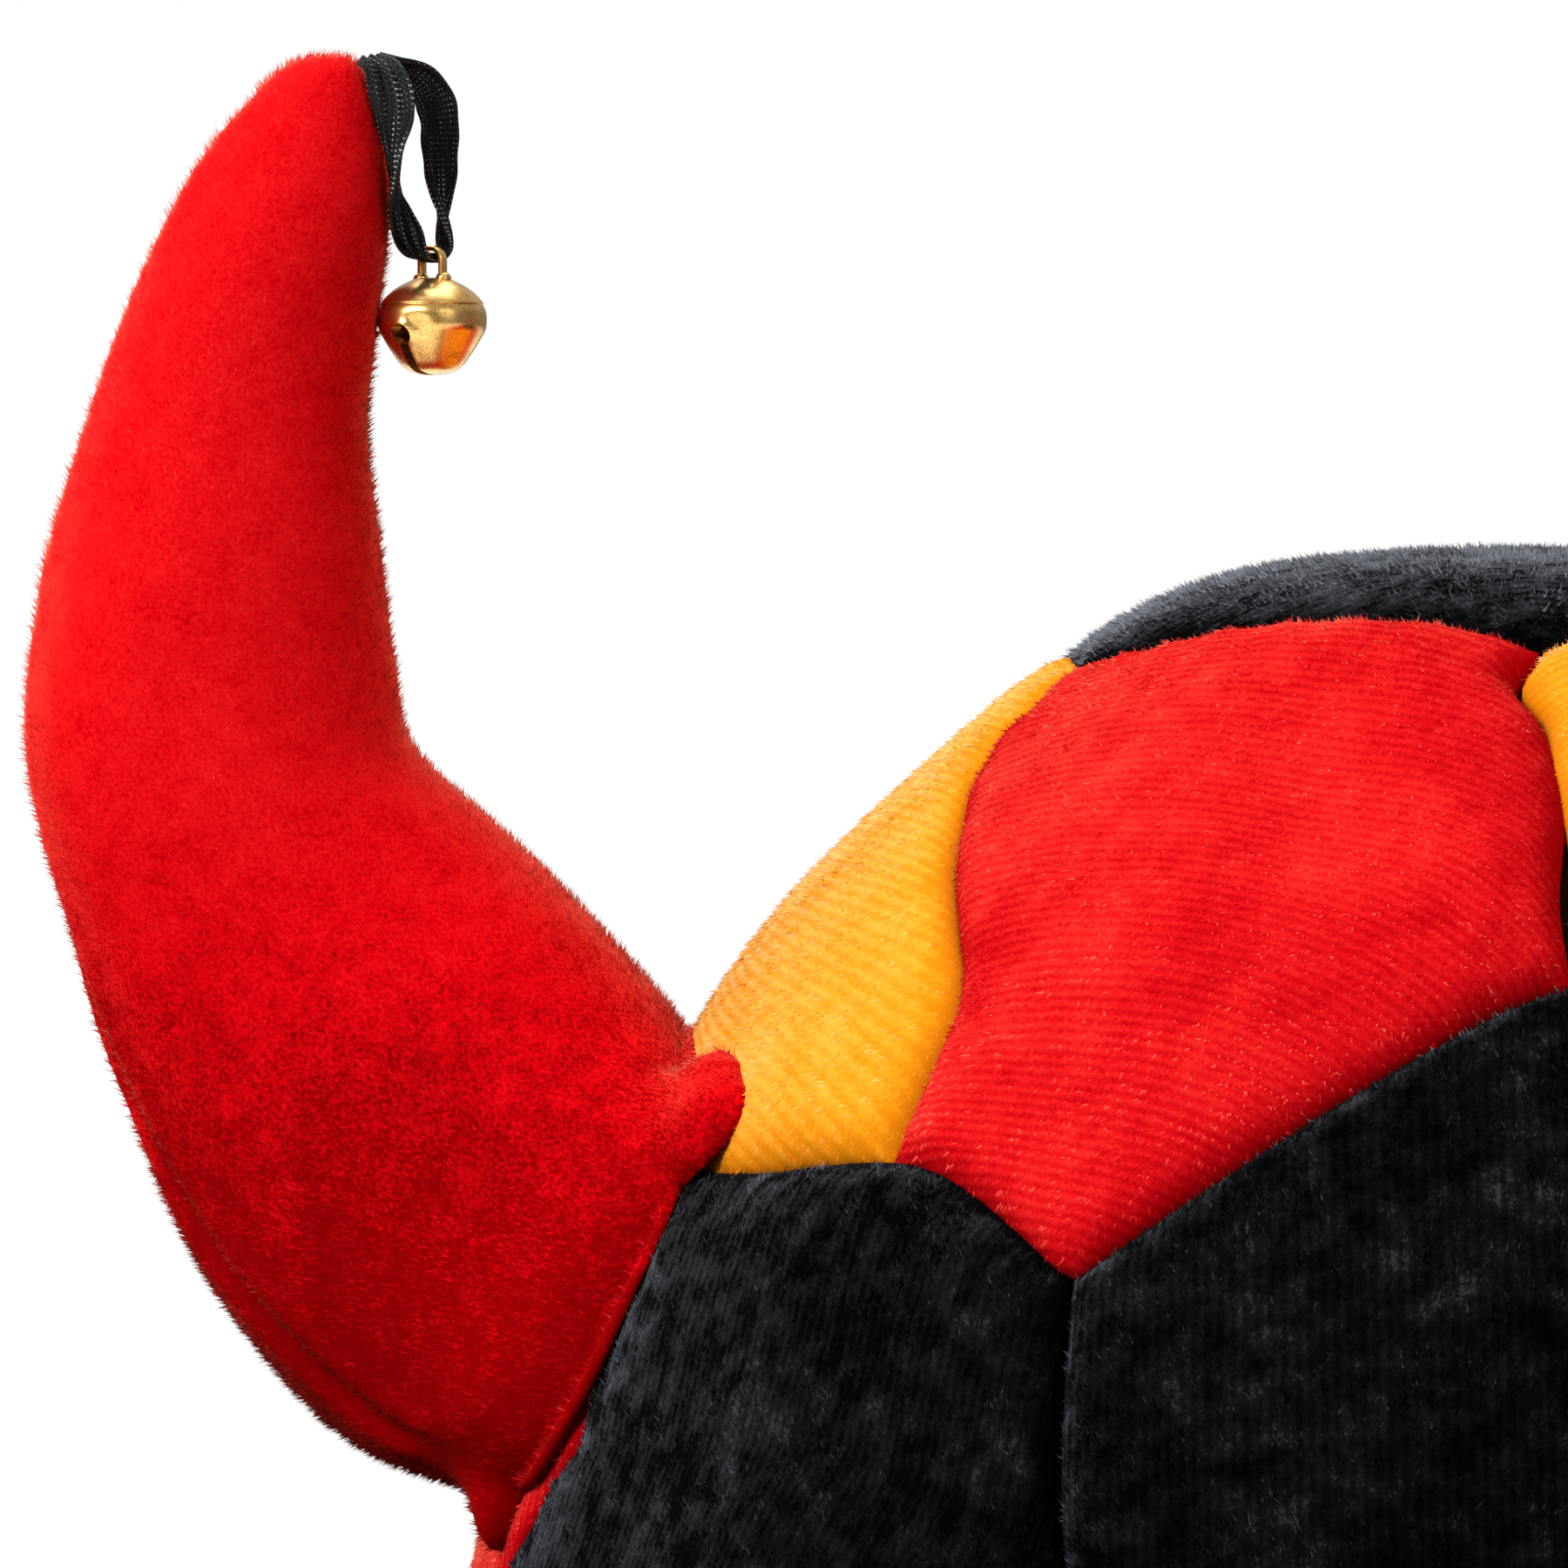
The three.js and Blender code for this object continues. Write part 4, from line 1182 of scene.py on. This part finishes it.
def add_range(tree, value, limits, results=(0, 1)):
    inputs = {"Value": value, "From Min": limits[0], "From Max": limits[1]}
    inputs.update({"To Min": results[0], "To Max": results[1]})
    return add_node(tree, "ShaderNodeMapRange", inputs).outputs[0]


def add_mix(tree, share, colour, other):
    inputs = {0: share, 6: colour, 7: (*other, 1)}
    return add_node(tree, "ShaderNodeMix", inputs, data_type="RGBA").outputs[2]


def add_bump(tree, height, strength, distance):
    inputs = {"Height": height, "Strength": strength, "Distance": distance}
    return add_node(tree, "ShaderNodeBump", inputs).outputs["Normal"]


def new_material(name):
    """Material, its node tree, and the place on the object."""
    material = bpy.data.materials.new(name)
    material.use_nodes = True
    tree = material.node_tree
    return material, tree, add_node(tree, "ShaderNodeTexCoord").outputs["Object"]


def shade(tree, **values):
    """Sets the shader's inputs, named with underscores for spaces."""
    named = {key.replace("_", " "): value for key, value in values.items()}
    set_inputs(tree.nodes["Principled BSDF"], named)


def pile_finish(name, stops, edge, patches, flecks, rim):
    """Cut pile: coloured by each strand's tone and by brushed patches, with a pale sheen painted into the
    colour where it is seen edge on.
    """
    material, tree, place = new_material(name)
    tone = add_node(tree, "ShaderNodeAttribute", attribute_name="tone").outputs["Fac"]
    grain = add_node(tree, "ShaderNodeAttribute", attribute_name="grain").outputs["Vector"]
    wave = {"Vector": grain, "Scale": math.pi / (10 * KNIT_PITCH * MM), "Distortion": 1.2, "Detail": 1}
    rows = add_node(tree, "ShaderNodeTexWave", wave, wave_type="BANDS", bands_direction="Y").outputs["Fac"]
    shift = add_math(tree, "MULTIPLY_ADD", rows, 0.2, tone)
    for scale, detail, share in ((70, 4, patches), (330, 3, flecks), (2600, 2, 0.8)):
        noise = add_math(tree, "SUBTRACT", add_noise(tree, place, scale, detail, 0.62), 0.5)
        shift = add_math(tree, "MULTIPLY_ADD", noise, share, shift)
    facing = add_node(tree, "ShaderNodeLayerWeight", {"Blend": 0.5}).outputs["Facing"]
    lit = add_range(tree, shift, (0.1, 0.8), (0.05, 1))
    sheen = add_math(tree, "MULTIPLY", add_math(tree, "POWER", facing, rim), lit)
    # Painted sheen: the pale edge colour is mixed in where the pile is seen edge on
    colour = add_mix(tree, sheen, add_ramp(tree, shift, stops), edge)
    bump = add_bump(tree, rows, 0.3, 0.0002)
    shade(tree, Base_Color=colour, Roughness=0.95, Specular_IOR_Level=0.0, Normal=bump)
    return material


def backing_finish(name, colour):
    """Flat knitted back of the cloth, inside the hat."""
    material, tree, place = new_material(name)
    weave = add_noise(tree, place, 900)
    dark = tuple(value * 0.6 for value in colour)
    mottled = add_ramp(tree, weave, [(0.3, dark), (0.7, colour)])
    shade(tree, Base_Color=mottled, Roughness=0.95, Normal=add_bump(tree, weave, 0.4, 0.0003))
    return material


def satin_finish():
    """Black ribbon with lengthwise ribs, and small glints painted into its colour where the threads cross.
    """
    material, tree, _ = new_material("black_ribbon")
    uv = add_node(tree, "ShaderNodeUVMap", uv_map="OFBake").outputs["UV"]
    across, along, _ = add_node(tree, "ShaderNodeSeparateXYZ", {0: uv}).outputs
    waves = ((across, 150), (along, 640), (across, 75))
    ribs, picks, columns = (
        add_math(tree, "SINE", add_math(tree, "MULTIPLY", way, pitch)) for way, pitch in waves)
    crossing = add_math(tree, "MULTIPLY", ribs, picks)
    threads = add_noise(tree, uv, 160, 3)
    colour = add_ramp(tree, threads, [(0.3, (0.0012, 0.0012, 0.0013)), (0.75, (0.006, 0.006, 0.0063))])
    stray = add_noise(tree, uv, 14)
    glint = add_math(tree, "MULTIPLY_ADD", stray, 3, add_math(tree, "ADD", columns, picks))
    # Painted glints: pale dots mixed into the ribbon's colour at thread crossings
    glints_painted = add_mix(tree, add_range(tree, glint, (3.15, 3.5)), colour, (0.4, 0.4, 0.42))
    shine = add_range(tree, crossing, (-1, 1), (0.62, 0.36))
    height = add_math(tree, "MULTIPLY_ADD", ribs, 0.6, add_math(tree, "MULTIPLY", crossing, 0.5))
    bump = add_bump(tree, height, 0.8, 0.00008)
    shade(tree, Base_Color=glints_painted, Roughness=shine, Specular_IOR_Level=0.16, Normal=bump)
    return material


def brass_finish():
    """Stamped brass, bright with fine dark specks and a duller bloom in patches."""
    material, tree, place = new_material("brass_bell")
    specks = add_noise(tree, place, 9000, 2, 0.7)
    bloom = add_noise(tree, place, 420, 3)
    mixed = add_math(tree, "MULTIPLY_ADD", specks, 0.65, add_math(tree, "MULTIPLY", bloom, 0.35))
    stops = [(0.36, (0.16, 0.07, 0.015)), (0.46, (0.62, 0.36, 0.1)), (0.62, (0.82, 0.52, 0.19))]
    dull = add_range(tree, mixed, (0.3, 0.7), (0.4, 0.18))
    bump = add_bump(tree, specks, 0.12, 0.00004)
    shade(tree, Base_Color=add_ramp(tree, mixed, stops), Metallic=1.0, Roughness=dull, Normal=bump)
    return material


def floor_finish():
    material, tree, place = new_material("pale_floor")
    clouds = add_noise(tree, place, 3)
    shade(tree, Base_Color=add_ramp(tree, clouds, [(0.3, (0.84,) * 3), (0.7, (0.88,) * 3)]), Roughness=0.7)
    return material


# Pile colours from deep in the pile to its tips, the sheen painted into the colour where it is seen edge on
# and the power that narrows it, and how mottled it is
PILE_COLOURS = {
    "red_plush": {
        "stops": [
            (0.0, (0.2, 0.0003, 0.001)), (0.25, (0.54, 0.001, 0.004)),
            (0.65, (0.7, 0.01, 0.012)), (1.0, (0.9, 0.075, 0.05)),
        ],
        "edge": (1.0, 0.34, 0.2), "patches": 0.26, "flecks": 0.4, "rim": 4.6,
    },
    "red_velour": {
        "stops": [
            (0.0, (0.32, 0.0008, 0.003)), (0.35, (0.46, 0.0035, 0.006)),
            (0.7, (0.56, 0.015, 0.013)), (1.0, (0.66, 0.085, 0.058)),
        ],
        "edge": (0.7, 0.1, 0.06), "patches": 1.0, "flecks": 0.5, "rim": 3.0,
    },
    "yellow_velour": {
        "stops": [
            (0.0, (0.56, 0.17, 0.003)), (0.35, (0.66, 0.24, 0.007)),
            (0.7, (0.72, 0.29, 0.02)), (1.0, (0.78, 0.4, 0.1)),
        ],
        "edge": (0.8, 0.47, 0.19), "patches": 0.7, "flecks": 0.5, "rim": 3.0,
    },
    "black_velour": {
        "stops": [
            (0.0, (0.0009, 0.0008, 0.0009)), (0.4, (0.003, 0.0027, 0.003)),
            (0.7, (0.0056, 0.0056, 0.0061)), (1.0, (0.023, 0.0246, 0.0285)),
        ],
        "edge": (0.185, 0.195, 0.225), "patches": 1.3, "flecks": 1.8, "rim": 4.2,
    },
}
FINISHES = {name: pile_finish(name, **row) for name, row in PILE_COLOURS.items()}
FINISHES["black_ribbon"] = satin_finish()
FINISHES["brass_bell"] = brass_finish()
BACKINGS = {
    "red_velour": backing_finish("red_backing", (0.45, 0.01, 0.012)),
    "yellow_velour": backing_finish("yellow_backing", (0.62, 0.3, 0.03)),
    "black_velour": backing_finish("black_backing", (0.012, 0.012, 0.013)),
}


# Camera, light and floor
def photo_camera():
    lens = bpy.data.cameras.new("photo_camera")
    lens.sensor_width = SENSOR_WIDTH
    lens.lens = SENSOR_WIDTH * -CAMERA_PLACE[1] / FRAME_WIDTH
    camera = linked("photo_camera", lens)
    camera.location = Vector(CAMERA_PLACE) * MM
    camera.rotation_euler = (math.pi / 2, 0, 0)
    bpy.context.scene.camera = camera


def soft_lamp(name, place, target, size, power):
    lamp = bpy.data.lights.new(name, "AREA")
    lamp.size = size
    lamp.energy = power
    holder = linked(name, lamp)
    holder.location = place
    holder.rotation_euler = (Vector(target) - Vector(place)).to_track_quat("-Z", "Y").to_euler()


def white_studio():
    """White to the camera; the pieces are lit by a room that is darker below and in front."""
    world = bpy.data.worlds.new("white_studio")
    world.use_nodes = True
    bpy.context.scene.world = world
    tree = world.node_tree
    seen = add_node(tree, "ShaderNodeLightPath").outputs["Is Camera Ray"]
    way = add_node(tree, "ShaderNodeTexCoord").outputs["Generated"]
    _, back, high = add_node(tree, "ShaderNodeSeparateXYZ", {0: way}).outputs
    rise = add_math(tree, "MULTIPLY_ADD", high, 0.5, 0.5)
    depth = add_math(tree, "MULTIPLY_ADD", back, 0.3, 0.9)
    room = add_ramp(tree, rise, [(0.0, (0.02,) * 3), (0.45, (0.2,) * 3), (1.0, (0.8,) * 3)])
    graded = add_node(tree, "ShaderNodeVectorMath", {0: room, "Scale": depth}, operation="SCALE").outputs[0]
    set_inputs(tree.nodes["Background"], {"Color": add_mix(tree, seen, graded, (1, 1, 1))})
    for row in LAMPS:
        soft_lamp(*row)
    bpy.context.scene.view_settings.view_transform = "Standard"


def pale_floor():
    bm = bmesh.new()
    bmesh.ops.create_grid(bm, x_segments=8, y_segments=8, size=FLOOR_HALF * MM)
    floor = mesh_object("floor", bm)
    floor.data.materials.append(floor_finish())
    floor.visible_diffuse = False


# Pieces on the frame
def dress(piece, body, materials):
    for material in materials:
        piece.data.materials.append(material)
    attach(piece, body)


def make_panels():
    feet = sorted((0, 180, 360, *all_round(GORE_FOOT_ANGLE)))
    tops = sorted((0, 180, 360, *all_round(CAP_CORNER_ANGLE)))
    corners = sorted((-NOTCH_ANGLE, *all_round(NOTCH_ANGLE), *all_round(SIDE_WALL_ANGLE)))
    panels = [Cap("crown_top", "black_velour")]
    panels += [Gore(*row, feet[i:i + 2], tops[i:i + 2]) for i, row in enumerate(GORES)]
    panels += [Wall(*row, corners[i:i + 2]) for i, row in enumerate(WALLS)]
    for index, panel in enumerate(panels):
        rng = np.random.default_rng(100 + index)
        cloth, area = panel_cloth(panel)
        dress(cloth, HAT_BODY, [FINISHES[panel.finish], BACKINGS[panel.finish]])
        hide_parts(panel.name)
        pile = panel_pile(panel, area, rng)
        dress(pile, HAT_BODY, [FINISHES[panel.finish]])
        cut_size(panel)


def make_horns():
    left = horn_plush()
    right = mirrored(left, "horn_right_plush")
    corners, shading, shades, spots = horn_pile(left, np.random.default_rng(60))
    left_pile = strand_object("horn_left_pile", corners, shading, shades, spots)
    corners, shading = (rows[:, [1, 0, 2]] * (-1, 1, 1) for rows in (corners, shading))
    right_pile = strand_object("horn_right_pile", corners, shading, shades, spots)
    for horn, pile, node in ((left, left_pile, "horn_left"), (right, right_pile, "horn_right")):
        dress(horn, HAT_BODY, [FINISHES["red_plush"]])
        dress(pile, HAT_BODY, [FINISHES["red_plush"]])
        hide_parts(node)


def make_bells():
    ribbon = ribbon_loop()
    bell = brass_bell()
    pieces = {
        "left": (ribbon, bell),
        "right": (mirrored(ribbon, "ribbon_right_satin"), mirrored(bell, "bell_right_brass")),
    }
    for side, (satin, brass) in pieces.items():
        dress(satin, HAT_BODY, [FINISHES["black_ribbon"]])
        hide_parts("ribbon_" + side)
        dress(brass, side + "_bell", [FINISHES["brass_bell"]])
        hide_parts("bell_" + side)


photo_camera()
white_studio()
pale_floor()
make_bells()
make_horns()
make_panels()
